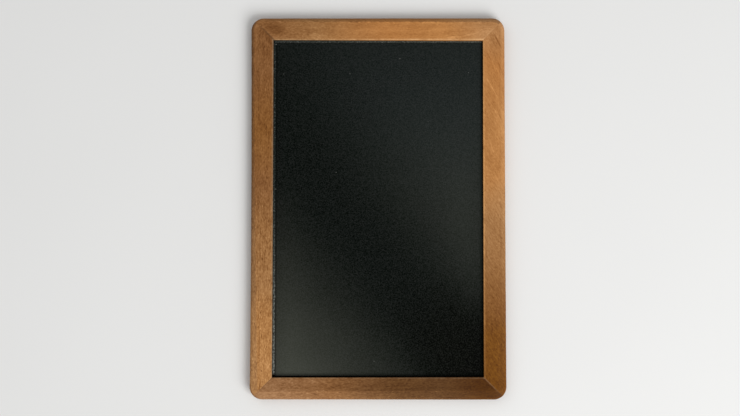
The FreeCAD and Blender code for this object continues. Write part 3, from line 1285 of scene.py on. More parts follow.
@dataclass(frozen=True)
class SlateFinish:
    """Rubbed natural slate with chalk dust left on it, in two hazes that are partly painted
    reflections, with a darker, dust-free lane of painted shade between them.

    Each fade gives the distances in mm at which something starts and is whole.
    """

    edges: Mapping[Side, FieldEdge]
    middle_height: float
    margin: MarginFinish = MarginFinish()
    margin_fade: Pair = (1.72, 1.9)
    lane_place: Pair = (23.5, -57.5)
    lane_turn: float = 38.4
    lane_sides: Pair = (13.0, 50.0)
    lane_fade: Pair = (-20.0, 82.0)
    low_fade: Pair = (13.0, 220.0)
    high_fade: Pair = (-5.5, 90.0)
    high_wane: Pair = (-120.0, 240.0)
    high_loss: float = 0.81
    warm_fade: Pair = (-110.0, 30.0)
    cloud_grain: Triple = (30.0, 40.0, 30.0)
    cloud_shift: float = 3.0
    side_place: float = 82.0
    side_fade: Pair = (0.0, 16.0)
    side_loss: float = 0.2
    side_top: Pair = (-20.0, 80.0)
    grit_grain: Triple = (0.85, 0.85, 0.85)
    grit_strength: float = 0.009
    grit_roughness: float = 0.05
    grit_height: float = 0.012
    line_raggedness: float = 0.15
    foot_fade: Pair = (0.0, 3.0)
    foot_shade: float = 0.42
    specks_per_mm: float = 0.07
    speck_fade: Pair = (0.2, 0.7)
    speck_chance: Pair = (0.6, 1.0)
    speck_share: float = 0.4
    roughness: float = 0.58
    relief_share: float = 0.4
    specular: float = 0.025
    chalk_grains: tuple[Patch, ...] = (
        Patch(-80.3, 129.1, 0.9, 0.8, 0.0, 0.6),
        Patch(17.3, 117.7, 0.8, 0.6, 30.0, 0.3),
        Patch(-22.0, 105.8, 0.6, 0.6, 0.0, 0.25),
        Patch(-32.8, 27.8, 0.6, 0.6, 0.0, 0.3),
        Patch(-80.4, 14.6, 1.0, 0.6, 0.0, 0.4),
        Patch(-80.7, -61.2, 0.9, 1.2, 0.0, 0.7),
        Patch(-80.6, -69.5, 0.9, 1.4, 0.0, 0.6),
        Patch(-81.4, -120.2, 1.0, 1.5, 20.0, 0.8),
    )

    def make(self) -> bpy.types.Material:
        """Build the slate's material.

        Returns:
            The material.
        """
        graph = Graph(bpy.data.materials.new("rubbed_slate"))
        board = graph.board_place()
        across, up, height = graph.parts(board)
        grit = graph.grains(board, self.grit_grain, detail=1.0, seed=5.0)
        chalk, painted_shade = SlateTone.CHALK.value, SlateTone.PAINTED_SHADE.value
        # The field's hazes are chalk dust and painted reflections, and its darker lane is painted
        # shade.
        colour = graph.scaled(self.dust_and_painted_light(graph, board), self.side_light(graph, across, up))
        colour = graph.lifted(colour, grit * self.grit_strength)
        colour = graph.blend(self.specks(graph, board), colour, chalk)

        depths = {side: edge.depth(across, up) for side, edge in self.edges.items()}
        lowered = 1 - graph.rise(abs(height - self.middle_height), *self.margin_fade)
        colour = graph.blend(lowered, colour, self.margin.colour(graph, board, depths))
        # Painted shade on the field along the bottom rail.
        foot = 1 - graph.rise(depths[Side.BOTTOM], *self.foot_fade)
        colour = graph.blend(foot * self.foot_shade, colour, painted_shade)
        # Painted shadow lines along the field's edges, beside the frame's walls.
        for side, edge in self.edges.items():
            ragged = depths[side] + grit * self.line_raggedness
            line = graph.ridge(ragged, edge.line_depth, edge.line_reach)
            colour = graph.blend(line * edge.line_share, colour, painted_shade)
        for spot in self.chalk_grains:
            colour = graph.blend(graph.patch(board, spot) * spot.change, colour, chalk)
        roughness = self.roughness + grit * self.grit_roughness
        relief = grit * self.grit_height
        return graph.finish(colour, roughness, relief, self.relief_share, self.specular)

    def side_light(self, graph: Graph, across: Shade, up: Shade) -> Shade:
        """Brightness of the field, which painted shade makes a little lower along its sides towards its
        foot.

        Args:
            graph: The material's nodes.
            across: Place across the board, in mm.
            up: Place up its length, in mm.

        Returns:
            The brightness, at most 1.
        """
        beside = graph.least(abs(across + self.side_place), abs(across - self.side_place))
        near = 1 - graph.rise(beside, *self.side_fade)
        return 1 - near * self.side_loss * (1 - graph.rise(up, *self.side_top))

    def dust_and_painted_light(self, graph: Graph, board: Shade) -> Shade:
        """Colour of the field's dust and painted reflections: a dust-free lane of painted shade runs
        down to the right between two hazes.

        Args:
            graph: The material's nodes.
            board: Place on the board, in mm.

        Returns:
            The colour.
        """
        feeds = {
            "Vector": board,
            "Location": (*self.lane_place, 0.0),
            "Rotation": (0.0, 0.0, math.radians(self.lane_turn)),
        }
        turned = graph.out(graph.node("Mapping", {"vector_type": "TEXTURE"}, feeds))
        above, left, _ = graph.parts(turned)
        _, up, _ = graph.parts(board)
        above = above + graph.grains(board, self.cloud_grain, detail=3.0, seed=2.0) * self.cloud_shift
        low = graph.rise(-above, *self.low_fade)
        wane = 1 - graph.rise(left, *self.high_wane) * self.high_loss
        high = graph.rise(above, *self.high_fade) * wane
        clean_and_shaded = graph.rise(-left, *self.lane_fade) * (1 - graph.rise(abs(above), *self.lane_sides))
        warm = graph.rise(-up, *self.warm_fade)
        high_dust_and_reflection = graph.blend(warm, SlateTone.COOL_DUST_AND_REFLECTION.value, SlateTone.WARM_DUST_AND_REFLECTION.value)
        # Two hazes of chalk dust and painted reflection, and between them a darker lane of painted
        # shade.
        colour = graph.blend(low, SlateTone.PLAIN.value, SlateTone.LOW_DUST_AND_REFLECTION.value)
        colour = graph.blend(high, colour, high_dust_and_reflection)
        return graph.blend(clean_and_shaded, colour, SlateTone.CLEAN_AND_SHADED.value)

    def specks(self, graph: Graph, board: Shade) -> Shade:
        """Sparse grains of chalk left in the slate's face, one at most in each cell of a noise.

        Args:
            graph: The material's nodes.
            board: Place on the board, in mm.

        Returns:
            How much chalk covers the slate, from 0 to 1.
        """
        cells = graph.node("TexVoronoi", feeds={"Vector": board, "Scale": self.specks_per_mm})
        chance, _, _ = graph.parts(graph.out(cells, "Color"))
        distance = graph.out(cells, "Distance") / self.specks_per_mm
        near = 1 - graph.rise(distance, *self.speck_fade)
        return near * graph.rise(chance, *self.speck_chance) * self.speck_share


# Pieces


@dataclass(frozen=True)
class Station:
    """A cut across a member.

    x is its place along the straight outer edge, swing how far it has turned into the corner, fan its
    share of the way from where the kerf starts to the mitre, and end -1 where x counts to the left.
    """

    x: float
    swing: float = 0.0
    fan: float = 0.0
    end: int = 1


@dataclass
class Moulding:
    """Section of a frame member, in mm: depth in from the outer edge, height from half way up."""

    width: float
    thickness: float
    shoulder_width: float = 7.0
    shoulder_drop: float = 0.9
    edge_band: float = 2.8
    ridge_soft: float = 1.0
    sight_ease: float = 0.6
    groove_depth: float = 5.0
    groove_height: float = 3.4
    kerf_height: float = 1.7
    kerf_setback: float = 3.5
    arc_steps: int = 7
    shoulder_stops: Pair = (0.33, 0.67)
    ridge_steps: int = 5
    flat_stops: Triple = (0.25, 0.5, 0.75)
    ease_steps: int = 5
    groove_steps: int = 2

    @property
    def kerf_leg(self) -> float:
        """How far a key's kerf runs along the outer edge from the corner."""
        return 2 * (self.width - self.groove_depth) - math.sqrt(2) * self.kerf_setback

    @property
    def ridge_foot(self) -> float:
        """Depth where the soft ridge has run out into the flat."""
        return self.shoulder_width + self.ridge_soft

    def upper_half(self) -> list[tuple[float, float, Zone]]:
        """Walk the section above half way, from the outer edge over the face to the groove's bottom.

        Returns:
            Depth, height and zone of each point.
        """
        top = self.thickness / 2
        slope = math.atan2(self.shoulder_drop, self.shoulder_width)
        band = self.edge_band / 2
        radius = (top - self.shoulder_drop - band) * math.tan(EIGHTH + slope / 2)
        points = [(0.0, self.kerf_height / 2, Zone.OUTLINE)]
        for share in shares(self.arc_steps):
            angle = between(math.pi, QUARTER + slope, share)
            spot = (radius * (1 + math.cos(angle)), band + radius * math.sin(angle))
            points.append((*spot, Zone.OUTLINE))
        start = self.shoulder_width - self.ridge_soft
        for share in self.shoulder_stops:
            depth = between(points[-1][0], start, share)
            points.append((depth, top - (self.shoulder_width - depth) * math.tan(slope), Zone.OUTLINE))
        for share in shares(self.ridge_steps):
            fall = self.ridge_soft * math.tan(slope) * (1 - share) ** 2
            points.append((between(start, self.ridge_foot, share), top - fall, Zone.OUTLINE))
        ease = self.sight_ease
        for share in self.flat_stops:
            points.append((between(self.ridge_foot, self.width - ease, share), top, Zone.FACE))
        for share in shares(self.ease_steps):
            angle = QUARTER * (1 - share)
            spot = (self.width - ease * (1 - math.cos(angle)), top - ease * (1 - math.sin(angle)))
            points.append((*spot, Zone.FACE))
        roof = self.groove_height / 2
        points.append((self.width, (roof + top - ease) / 2, Zone.INSIDE))
        for share in shares(self.groove_steps):
            points.append((self.width - self.groove_depth * share, roof, Zone.INSIDE))
        return points

    def loop(self) -> list[tuple[float, float, Zone]]:
        """The whole section, from the kerf's upper edge round to its lower edge."""
        upper = self.upper_half()
        return upper + [(depth, -height, zone) for depth, height, zone in reversed(upper)]


@dataclass
class FrameMember:
    """One mitred, moulded and grooved member of the frame, sawn at both ends for its mitre keys."""

    side: Side
    sizes: BoardSizes
    moulding: Moulding
    finish: WoodFinish
    fit: HandFit
    glue_line: float = 0.02
    station_step: float = 1.5
    corner_steps: int = 10
    crisp: float = math.radians(28)
    face_wear: float = 0.06
    face_wear_band: float = 0.1
    face_swell: Pair = (14.0, 5.0)
    face_seed: float = 3.0
    edge_wear: float = 0.1
    edge_swell: float = 9.0
    seed_per_turn: float = 7.0

    @property
    def half(self) -> float:
        """Half of the member's length."""
        return self.sizes.span(self.side) / 2

    @property
    def kerf_start(self) -> float:
        """Where the kerfs begin, from the member's middle."""
        return self.half - self.moulding.kerf_leg

    def stations(self) -> list[Station]:
        """Cuts from the left mitre to the right one, close together round the corners.

        Returns:
            The cuts.
        """
        start, radius = self.kerf_start, self.sizes.corner_radius
        straight = self.half - radius - start
        total = straight + radius * EIGHTH
        right_end = []
        for share in shares(self.corner_steps)[1:]:
            gone = straight * share
            right_end.append(Station(start + gone, 0.0, gone / total))
        for share in shares(self.corner_steps)[1:]:
            swing = EIGHTH * share
            fan = (straight + radius * swing) / total
            right_end.append(Station(start + straight, swing, fan))
        left_end = [Station(cut.x, cut.swing, cut.fan, -1) for cut in reversed(right_end)]
        steps = round(2 * start / self.station_step)
        middle = [Station(between(-start, start, share)) for share in shares(steps)]
        return left_end + middle + right_end

    def place(self, depth: float, height: float, zone: Zone, cut: Station) -> Vector:
        """Put a point of the section at a station, in the member's own frame.

        Args:
            depth: Distance in from the outline.
            height: Height from half way up.
            zone: How the point follows the member into its corners.
            cut: The station.

        Returns:
            The point: X along the member, Y 0 at its outer edge.
        """
        if zone is Zone.OUTLINE:
            radius = self.sizes.corner_radius
            reach = radius - depth
            spot = Vector((cut.x + reach * math.sin(cut.swing), reach * math.cos(cut.swing) - radius))
        elif zone is Zone.INSIDE:
            run_on = between(self.kerf_start, self.half - depth, cut.fan) if cut.fan else cut.x
            spot = Vector((run_on, -depth))
        else:
            right_cut = Station(cut.x, cut.swing, cut.fan)
            ridge = self.place(self.moulding.ridge_foot, height, Zone.OUTLINE, right_cut)
            sight = self.place(self.moulding.width, height, Zone.INSIDE, right_cut)
            run = self.moulding.width - self.moulding.ridge_foot
            spot = ridge.lerp(sight, (depth - self.moulding.ridge_foot) / run)
        return Vector((spot[0] * cut.end, spot[1], self.sizes.thickness / 2 + height))

    def kerf_floor(self, height: float, cut: Station) -> Vector:
        """The bottom of the key's kerf at a station.

        Args:
            height: Height from half way up.
            cut: The station.

        Returns:
            The point: X along the member, Y 0 at its outer edge.
        """
        deepest = self.moulding.kerf_leg / 2
        sawn = min(max(cut.x - self.kerf_start, 0.0), deepest)
        x = min(cut.x, self.half - deepest)
        return Vector((x * cut.end, -sawn, self.sizes.thickness / 2 + height))

    def draft(self) -> MeshDraft:
        """Loft the section through the stations, leave the kerfs open and close the mitres.

        Returns:
            The member's faces.
        """
        draft = MeshDraft()
        section = self.moulding.loop()
        cuts = self.stations()
        rows = [[self.place(*point, cut) for point in section] for cut in cuts]
        slot = self.moulding.kerf_height / 2
        floors = [[self.kerf_floor(height, cut) for height in (slot, -slot)] for cut in cuts]
        for number in range(len(cuts) - 1):
            near, far = rows[number], rows[number + 1]
            draft.strip(near, far)
            if cuts[number].fan or cuts[number + 1].fan:
                near_slot = [near[-1], floors[number][1], floors[number][0], near[0]]
                far_slot = [far[-1], floors[number + 1][1], floors[number + 1][0], far[0]]
                draft.strip(near_slot, far_slot)
            else:
                draft.strip([near[-1], near[0]], [far[-1], far[0]])
        for row, floor in ((rows[0], floors[0]), (rows[-1], floors[-1])):
            draft.face(*row, floor[1], floor[0])
        return draft

    def on_board(self, spot: Vector) -> Vector:
        """Wear a point of the member, keep its glue line, and turn it to its side of the board.

        Args:
            spot: Point in the member's own frame, in mm.

        Returns:
            The point in the board's frame.
        """
        x, y, z = spot
        middle = self.sizes.thickness / 2
        limit = self.half + y - self.glue_line
        x = math.copysign(min(abs(x), limit), x)
        seed = self.side.turn * self.seed_per_turn
        face = math.copysign(1.0, z - middle)
        past = abs(z - middle) / middle - (1 - self.face_wear_band)
        if past > 0:
            long, wide = self.face_swell
            swell = noise.noise(Vector((x / long, y / wide, seed + face * self.face_seed)))
            z -= face * self.face_wear * to_share(swell) * past / self.face_wear_band
        if y > -self.moulding.shoulder_width:
            share = 1 + y / self.moulding.shoulder_width
            y -= self.edge_wear * share * to_share(wander(seed, x, self.edge_swell))
        moved = Vector((x, y + self.sizes.reach(self.side), z))
        return self.fit(Matrix.Rotation(self.side.turn, 3, "Z") @ moved)

    def build(self) -> bpy.types.Object:
        """Make the member and dress it.

        Returns:
            The member's object.
        """
        piece = self.draft().build(f"{self.side.node}_moulded", self.on_board, self.crisp)
        piece.data.materials.append(self.finish.make())
        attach(piece, BODY)
        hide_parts(self.side.node)
        return piece


@dataclass
class MitreKey:
    """A thin slip of wood across one mitre, sanded flush with the rounded corner."""

    corner: Corner
    sizes: BoardSizes
    finish: KeyFinish
    fit: HandFit
    kerf_leg: float
    glue_line: float = 0.05
    thickness: float = 1.6
    sanded_in: float = 0.12
    arc_steps: int = 12

    def outline(self) -> list[Vector]:
        """Points round the slip, measured from the drawing's sharp corner.

        Returns:
            The points, in mm.
        """
        leg = self.kerf_leg - math.sqrt(2) * self.glue_line
        points = [Vector((-leg, 0.0))]
        for share in shares(self.arc_steps):
            angle = QUARTER * (1 - share)
            rim = Vector((math.cos(angle), math.sin(angle)))
            points.append((rim - Vector((1.0, 1.0))) * self.sizes.corner_radius)
        points.append(Vector((0.0, -leg)))
        return points

    def build(self) -> bpy.types.Object:
        """Make the key and dress it.

        Returns:
            The key's object.
        """
        draft = MeshDraft()
        middle = self.sizes.thickness / 2
        heights = (middle - self.thickness / 2, middle + self.thickness / 2)
        low, high = ([Vector((*spot, height)) for spot in self.outline()] for height in heights)
        draft.strip(low + low[:1], high + high[:1])
        draft.face(*low)
        draft.face(*high)
        piece = draft.build(f"{self.corner.node}_slip", self.on_board)
        piece.data.materials.append(self.finish.make())
        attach(piece, BODY)
        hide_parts(self.corner.node)
        return piece

    def on_board(self, spot: Vector) -> Vector:
        """Sand a point of the slip flush and turn it to its corner of the board.

        Args:
            spot: Point of the slip, in mm from the sharp corner.

        Returns:
            The point in the board's frame.
        """
        inset = Vector((spot.x - self.sanded_in, spot.y - self.sanded_in, spot.z))
        turned = Matrix.Rotation(self.corner.turn, 3, "Z") @ inset
        right = self.corner in (Corner.TOP_RIGHT, Corner.BOTTOM_RIGHT)
        above = self.corner in (Corner.TOP_RIGHT, Corner.TOP_LEFT)
        width, length = self.sizes.width, self.sizes.length
        corner = Vector((width if right else -width, length if above else -length, 0.0)) / 2
        return self.fit(turned + corner)


@dataclass
class SlatePanel:
    """The slate: a raised field on each face inside a lower, roughly ground margin.

    The stops of its grid are shares of the way across the field. A foot is the stop where a bevel
    has run out into the margin, and a rim that of the panel's own edge.
    """

    low_rim: ClassVar[float] = -2.0
    low_foot: ClassVar[float] = -1.0
    high_foot: ClassVar[float] = 2.0
    high_rim: ClassVar[float] = 3.0

    edges: Mapping[Side, FieldEdge]
    finish: SlateFinish
    field_height: float = 4.0
    field_unevenness: float = 0.03
    field_swell: float = 30.0
    field_seed: float = 2.0
    margin_height: float = 3.2
    margin_unevenness: float = 0.06
    margin_swell: float = 2.0
    margin_seed: float = 4.0
    bevel: float = 0.3
    grid_step: float = 1.5
    chip: float = 0.3
    chip_pitch: float = 4.0
    small_chip: float = 0.5
    small_chip_pitch: float = 1.7
    row_seed: float = 3.0
    column_seed: float = 5.0

    def build(self) -> bpy.types.Object:
        """Make the panel and dress it.

        Returns:
            The panel's object.
        """
        draft = MeshDraft()
        rims = []
        for face in (1, -1):
            grid = self.face_grid(face)
            for near, far in zip(grid, grid[1:]):
                draft.strip(near, far)
            left = [row[0] for row in grid]
            right = [row[-1] for row in grid]
            rims.append(grid[0][:-1] + right[:-1] + grid[-1][:0:-1] + left[:0:-1])
        for rim in rims:
            rim.append(rim[0])
        draft.strip(*rims)
        piece = draft.build("slate_panel_ground")
        piece.data.materials.append(self.finish.make())
        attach(piece, BODY)
        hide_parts("slate_panel")
        return piece

    def stops(self, run: float) -> list[float]:
        """Stops of the grid's lines across a field of a given run."""
        field = shares(round(run / self.grid_step))
        return [self.low_rim, self.low_foot, *field, self.high_foot, self.high_rim]

    def face_grid(self, face: int) -> list[list[Vector]]:
        """Lay out one face of the panel.

        Args:
            face: 1 for the writing face, -1 for the back.

        Returns:
            Rows of points, from the bottom to the top.
        """
        low, high = (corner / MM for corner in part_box("slate_panel"))
        middle = (low.z + high.z) / 2
        left, right = self.edges[Side.LEFT], self.edges[Side.RIGHT]
        bottom, top = self.edges[Side.BOTTOM], self.edges[Side.TOP]
        rows = []
        for up in self.stops(top.middle - bottom.middle):
            row = []
            for over in self.stops(right.middle - left.middle):
                x_guess = between(left.middle, right.middle, min(max(over, 0.0), 1.0))
                y = self.line(up, (bottom, top), x_guess, (low.y, high.y), face * self.row_seed)
                y_guess = min(max(y, bottom.middle), top.middle)
                x = self.line(over, (left, right), y_guess, (low.x, high.x), face * self.column_seed)
                raised = 0 <= up <= 1 and 0 <= over <= 1
                row.append(Vector((x, y, middle + face * self.height(x, y, raised, face))))
            rows.append(row)
        return rows

    def height(self, x: float, y: float, raised: bool, face: int) -> float:
        """Height of a face at a place.

        Args:
            x: Place across the board, in mm.
            y: Place up its length, in mm.
            raised: Whether the place is on the field.
            face: 1 for the writing face, -1 for the back.

        Returns:
            The height in mm from the panel's middle.
        """
        if raised:
            pitch, seed = self.field_swell, face * self.field_seed
            swell = noise.noise(Vector((x / pitch, y / pitch, seed)))
            return self.field_height / 2 - self.field_unevenness * to_share(swell)
        pitch, seed = self.margin_swell, face * self.margin_seed
        grit = noise.noise(Vector((x / pitch, y / pitch, seed)))
        return self.margin_height / 2 - self.margin_unevenness * to_share(grit)

    def line(
        self,
        stop: float,
        edges: tuple[FieldEdge, FieldEdge],
        along: float,
        rims: Pair,
        seed: float,
    ) -> float:
        """Where a grid line lies at a place along it.

        Args:
            stop: The line's stop.
            edges: The field's edges on the low and high sides.
            along: The place along the line.
            rims: The panel's own edges on the low and high sides.
            seed: Picks the chips.

        Returns:
            The coordinate across the line.
        """
        if stop == self.low_rim:
            return rims[0]
        if stop == self.high_rim:
            return rims[1]
        low, high = (edge.at(along) for edge in edges)
        small = self.small_chip * wander(seed + 1, along, self.small_chip_pitch)
        chip = self.chip * max(wander(seed, along, self.chip_pitch) + small, 0.0)
        if stop <= 0:
            return low + chip + self.bevel * stop
        if stop >= 1:
            return high - chip + self.bevel * (stop - 1)
        return between(low, high, stop)


@dataclass(frozen=True)
class Lamp:
    """A square soft lamp that faces the board: place and size in mm, power in watts."""

    name: str
    place: Triple
    size: float
    power: float

    def hang(self) -> None:
        """Hang the lamp in the scene."""
        lamp = bpy.data.lights.new(self.name, "AREA")
        lamp.size = self.size * MM
        lamp.energy = self.power
        place = Vector([part * MM for part in self.place])
        holder = bpy.data.objects.new(self.name, lamp)
        holder.location = place
        holder.rotation_euler = (-place).to_track_quat("-Z", "Y").to_euler()
        holder.visible_camera = False
        bpy.context.scene.collection.objects.link(holder)


@dataclass
class Studio:
    """Pale floor, soft light from the lower right and the camera above the board, in mm and degrees."""

    floor_reach: float = 8000.0
    floor_drop: float = 0.2
    floor_fade: Pair = (700.0, 2400.0)
    floor_grain: Triple = (300.0, 300.0, 300.0)
    floor_tones: tuple[Colour, Colour] = ((0.79, 0.79, 0.78, 1.0), (0.81, 0.81, 0.8, 1.0))
    floor_roughness: float = 0.9
    floor_specular: float = 0.1
    world_white: Colour = (1.0, 1.0, 1.0, 1.0)
    world_light: float = 0.42
    world_tone: Colour = (0.8, 0.8, 0.79, 1.0)
    lamps: tuple[Lamp, ...] = (
        Lamp("key_lamp", (1100.0, -1200.0, 1500.0), 1400.0, 40.0),
        Lamp("fill_lamp", (-1200.0, 900.0, 1600.0), 1800.0, 6.0),
    )
    camera_distance: float = 1200.0
    camera_aim: Pair = (-6.25, 0.23)
    camera_tilt: float = 3.42
    camera_lens: float = 74.11
    camera_sensor: float = 36.0

    def build(self) -> None:
        """Lay the floor, light the world, hang the lamps and set up the camera."""
        self.lay_floor()
        self.light_world()
        for lamp in self.lamps:
            lamp.hang()
        self.set_camera()

    def lay_floor(self) -> None:
        """Make the floor just under the board; far away it gives way softly to the world's tone."""
        draft = MeshDraft()
        reach = self.floor_reach
        square = ((-reach, -reach), (reach, -reach), (reach, reach), (-reach, reach))
        draft.face(*(Vector((*spot, -self.floor_drop)) for spot in square))
        floor = draft.build("studio_floor")
        graph = Graph(bpy.data.materials.new("floor_paper"))
        place = graph.board_place()
        mottle = graph.grains(place, self.floor_grain, detail=2.0, seed=1.0)
        colour = graph.blend(to_share(mottle), *self.floor_tones)
        solid = 1 - graph.rise(graph.vector("LENGTH", place, output="Value"), *self.floor_fade)
        paper = graph.finish(colour, self.floor_roughness, specular=self.floor_specular, alpha=solid)
        floor.data.materials.append(paper)

    def light_world(self) -> None:
        """Give the world a soft even light, and the floor's tone where the camera sees past it."""
        world = bpy.data.worlds.new("studio")
        graph = Graph(world)
        light = {"Color": self.world_white, "Strength": self.world_light}
        soft = graph.node("Background", feeds=light)
        pale = graph.node("Background", feeds={"Color": self.world_tone, "Strength": 1.0})
        seen = graph.out(graph.node("LightPath"), "Is Camera Ray")
        both = graph.node("MixShader", feeds={0: seen, 1: graph.out(soft), 2: graph.out(pale)})
        graph.node("OutputWorld", feeds={"Surface": graph.out(both)})
        bpy.context.scene.world = world

    def set_camera(self) -> None:
        """Stand the camera above the board, a little towards its lower end."""
        lens = bpy.data.cameras.new("camera")
        lens.lens = self.camera_lens
        lens.sensor_width = self.camera_sensor
        camera = bpy.data.objects.new("camera", lens)
        tilt = math.radians(self.camera_tilt)
        aim = Vector((*self.camera_aim, 0.0))
        back = Vector((0.0, -math.sin(tilt), math.cos(tilt)))
        camera.location = (aim + back * self.camera_distance) * MM
        camera.rotation_euler = (tilt, 0.0, 0.0)
        bpy.context.scene.collection.objects.link(camera)
        bpy.context.scene.camera = camera
        bpy.context.scene.view_settings.view_transform = "Standard"


def top_wood(sizes: BoardSizes) -> WoodFinish:
    """The top rail's wood: golden towards the right and darker towards the left partly as painted
    shade, with a dark spot by its left mitre.

    Args:
        sizes: The board's sizes.

    Returns:
        The finish.
    """
    return WoodFinish(
        Side.TOP,
        sizes,
        tones=(
            (0.08, Tone.TAN),
            (0.25, Tone.OCHRE),
            (0.4, Tone.AMBER),
            (0.55, Tone.COPPER),
            (0.75, Tone.GOLD),
            (0.92, Tone.SHELL),
        ),
        figure=Figure(
            seed=1.0,
            texture=Run(1.3, 0.5, 0.7),
            band_strength=0.06,
            streak_strength=0.09,
            mottle_strength=0.09,
            fleck_strength=0.24,
        ),
        seams=Seams(Trace(0.7, Tone.GLUE, 1.5), Trace(0.12, Tone.CREAM)),
        sight_edge=SightEdge(
            Trace(0.46, Tone.CREAM, 0.8),
            arris_inset=0.0,
            arris_run=Run(0.5, 0.9, 1.2),
            painted_shade_run=Run(0.7, 0.35, 0.15),
        ),
        rim=Rim(tone=Run(1.06, 0.63, 0.77), dust=Run(0.0, 0.05, 0.12), line=0.12),
        patches=(
            Patch(-80.0, 140.5, 16.0, 7.5, -24.0, -0.34),
            Patch(-46.0, 134.8, 24.0, 4.0, 0.0, 0.22),
            Patch(-12.0, 143.5, 18.0, 4.5, 0.0, -0.14),
            Patch(60.0, 134.2, 10.0, 1.3, 4.0, 0.3, 0.3),
            Patch(73.0, 136.5, 8.0, 1.2, 14.0, 0.2, 0.2),
            Patch(82.0, 139.0, 18.0, 6.0, 15.0, 0.1),
        ),
    )


def left_wood(sizes: BoardSizes) -> WoodFinish:
    """The left stile's wood: paler towards its foot and darker towards its top partly as painted shade,
    with a wider rim band of painted shade towards its foot.

    Args:
        sizes: The board's sizes.

    Returns:
        The finish.
    """
    return WoodFinish(
        Side.LEFT,
        sizes,
        tones=(
            (0.2, Tone.SAND),
            (0.3, Tone.OCHRE),
            (0.42, Tone.OCHRE),
            (0.56, Tone.HAZEL),
            (0.7, Tone.BRASS),
            (0.85, Tone.HAZEL),
        ),
        figure=Figure(seed=4.0, texture=Run(1.15, 1.1, 1.0), band_strength=0.08),
        seams=Seams(Trace(0.3, Tone.CREAM), Trace(0.35, Tone.GLUE)),
        # The sight edge's pale line is a painted highlight, in chalk's colour.
        sight_edge=SightEdge(Trace(0.35, Tone.CHALK, 1.0)),
        rim=Rim(
            width=Run(6.4, 4.0, 2.6),
            soft=1.5,
            tone=Run(0.98, 0.86, 0.8),
            dust=Run(0.14, 0.06, 0.02),
            brink_tone=Run(1.0, 0.87, 0.82),
        ),
        patches=(
            Patch(-85.5, 131.5, 7.0, 2.5, -60.0, -0.3),
            Patch(-95.0, 144.0, 5.0, 3.0, 45.0, 0.2),
            Patch(-90.0, 64.0, 10.0, 4.0, 90.0, -0.1),
            # A painted shadow line along the ridge, with a painted highlight beside it.
            Patch(-92.3, -108.0, 25.0, 0.6, 90.0, -0.26),
            Patch(-91.2, -106.0, 25.0, 0.6, 90.0, 0.14),
            Patch(-92.0, -2.0, 12.0, 0.9, 90.0, 0.16),
        ),
    )


def bottom_wood(sizes: BoardSizes) -> WoodFinish:
    """The bottom rail's wood: dark, and darkest on the right partly as painted shade, with a broad pale
    rim of painted light.

    Args:
        sizes: The board's sizes.

    Returns:
        The finish.
    """
    return WoodFinish(
        Side.BOTTOM,
        sizes,
        tones=(
            (0.1, Tone.COCOA),
            (0.25, Tone.WALNUT),
            (0.42, Tone.ACORN),
            (0.55, Tone.UMBER),
            (0.7, Tone.NUTMEG),
            (0.87, Tone.FAWN),
        ),
        figure=Figure(seed=9.0, texture=Run(0.9, 1.2, 0.9), streak_strength=0.11, fleck_strength=0.2),
        seams=Seams(Trace(0.5, Tone.SEAM_HIGHLIGHT), Trace(0.15, Tone.GLUE)),
        # The sight edge's pale line is a painted highlight, in chalk's colour.
        sight_edge=SightEdge(Trace(0.15, Tone.CHALK, 0.9)),
        rim=Rim(
            width=Run(7.8, 7.4, 6.7),
            soft=0.7,
            tone=Run(1.08, 1.23, 1.19),
            dust=Run(0.0, 0.03, 0.09),
            line=0.16,
            line_inset=-0.5,
            brink_width=1.8,
            brink_tone=Run(1.5, 1.17, 0.9),
        ),
        patches=(Patch(-50.0, -136.4, 50.0, 2.8, 0.0, 0.08, 0.2),),
    )


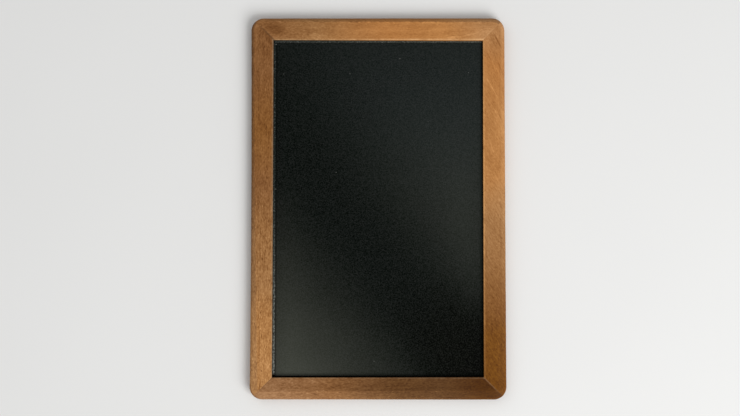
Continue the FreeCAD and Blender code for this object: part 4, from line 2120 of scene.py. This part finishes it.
def right_wood(sizes: BoardSizes) -> WoodFinish:
    """The right stile's wood: golden at its top and dark at its foot partly as painted shade, with
    slanting fibres.

    Args:
        sizes: The board's sizes.

    Returns:
        The finish.
    """
    return WoodFinish(
        Side.RIGHT,
        sizes,
        tones=(
            (0.03, Tone.SHELL),
            (0.12, Tone.COPPER),
            (0.26, Tone.HONEY),
            (0.42, Tone.HONEY),
            (0.52, Tone.STRAW),
            (0.75, Tone.CHESTNUT),
            (0.82, Tone.BRONZE),
            (0.95, Tone.RUSSET),
        ),
        figure=Figure(
            seed=14.0,
            slant=-29.0,
            texture=Run(0.5, 0.65, 1.2),
            band_pitch=5.0,
            band_strength=0.09,
            mottle_strength=0.08,
        ),
        seams=Seams(Trace(0.1, Tone.CREAM), Trace(0.5, Tone.SEAM_HIGHLIGHT)),
        sight_edge=SightEdge(
            Trace(0.5, Tone.BUTTER, 0.9),
            arris_inset=0.4,
            arris_run=Run(1.5, 1.0, 0.1),
        ),
        rim=Rim(
            width=Run(3.5, 3.5, 3.3),
            soft=0.7,
            tone=Run(1.17, 1.03, 1.02),
            dust=Run(0.12, 0.06, 0.0),
            line=-0.12,
            line_inset=0.9,
            brink_tone=Run(1.0, 1.0, 1.15),
        ),
        patches=(
            Patch(89.4, 94.7, 14.0, 0.65, -60.5, 0.24, 0.4),
            Patch(90.1, 78.8, 14.0, 0.65, -58.4, 0.2, 0.4),
            Patch(90.6, 112.9, 8.0, 0.7, -72.0, 0.13, 0.3),
            Patch(93.5, 108.5, 8.0, 0.7, -61.5, 0.16, 0.3),
            Patch(89.7, 45.9, 12.0, 0.8, -70.0, 0.16),
            Patch(94.2, 131.2, 9.5, 1.1, -61.8, -0.38),
            Patch(87.2, 119.3, 7.0, 0.7, -62.3, -0.24),
            Patch(95.6, 111.0, 8.0, 0.7, -68.0, -0.22),
            Patch(90.5, 131.0, 9.0, 0.8, -62.0, -0.2),
            Patch(95.5, 72.0, 6.0, 0.8, -66.0, -0.18),
        ),
    )


def field_edges() -> dict[Side, FieldEdge]:
    """The edges of the slate's field, set so that its margin shows on the left and at the top.

    Returns:
        The edges by their side.
    """
    edges = (
        FieldEdge(Side.LEFT, -80.2, 0.0008, 0.55, 0.8, 0.5),
        FieldEdge(Side.RIGHT, 81.75, 0.0, -0.35, 0.75, 0.92),
        FieldEdge(Side.BOTTOM, -131.0, 0.0, -0.35, 0.75, 0.9),
        FieldEdge(Side.TOP, 130.05, 0.0, 0.3, 0.7, 0.08),
    )
    return {edge.side: edge for edge in edges}


def main() -> None:
    """Build the board piece by piece and report each."""
    logging.basicConfig(level=logging.INFO, format="%(name)s: %(message)s")
    sizes = BoardSizes.of_frame()
    fit = HandFit(sizes)
    moulding = Moulding(sizes.member_width, sizes.thickness)
    pieces: list[FrameMember | MitreKey | SlatePanel] = []
    for wood in (top_wood, left_wood, bottom_wood, right_wood):
        finish = wood(sizes)
        pieces.append(FrameMember(finish.side, sizes, moulding, finish, fit))
    for corner in Corner:
        pieces.append(MitreKey(corner, sizes, KeyFinish(corner), fit, moulding.kerf_leg))
    edges = field_edges()
    pieces.append(SlatePanel(edges, SlateFinish(edges, sizes.thickness / 2)))
    for part in pieces:
        piece = part.build()
        log.info("%s: %d faces", piece.name, len(piece.data.polygons))
    Studio().build()
    log.info("studio ready")


if __name__ == "__main__":
    main()
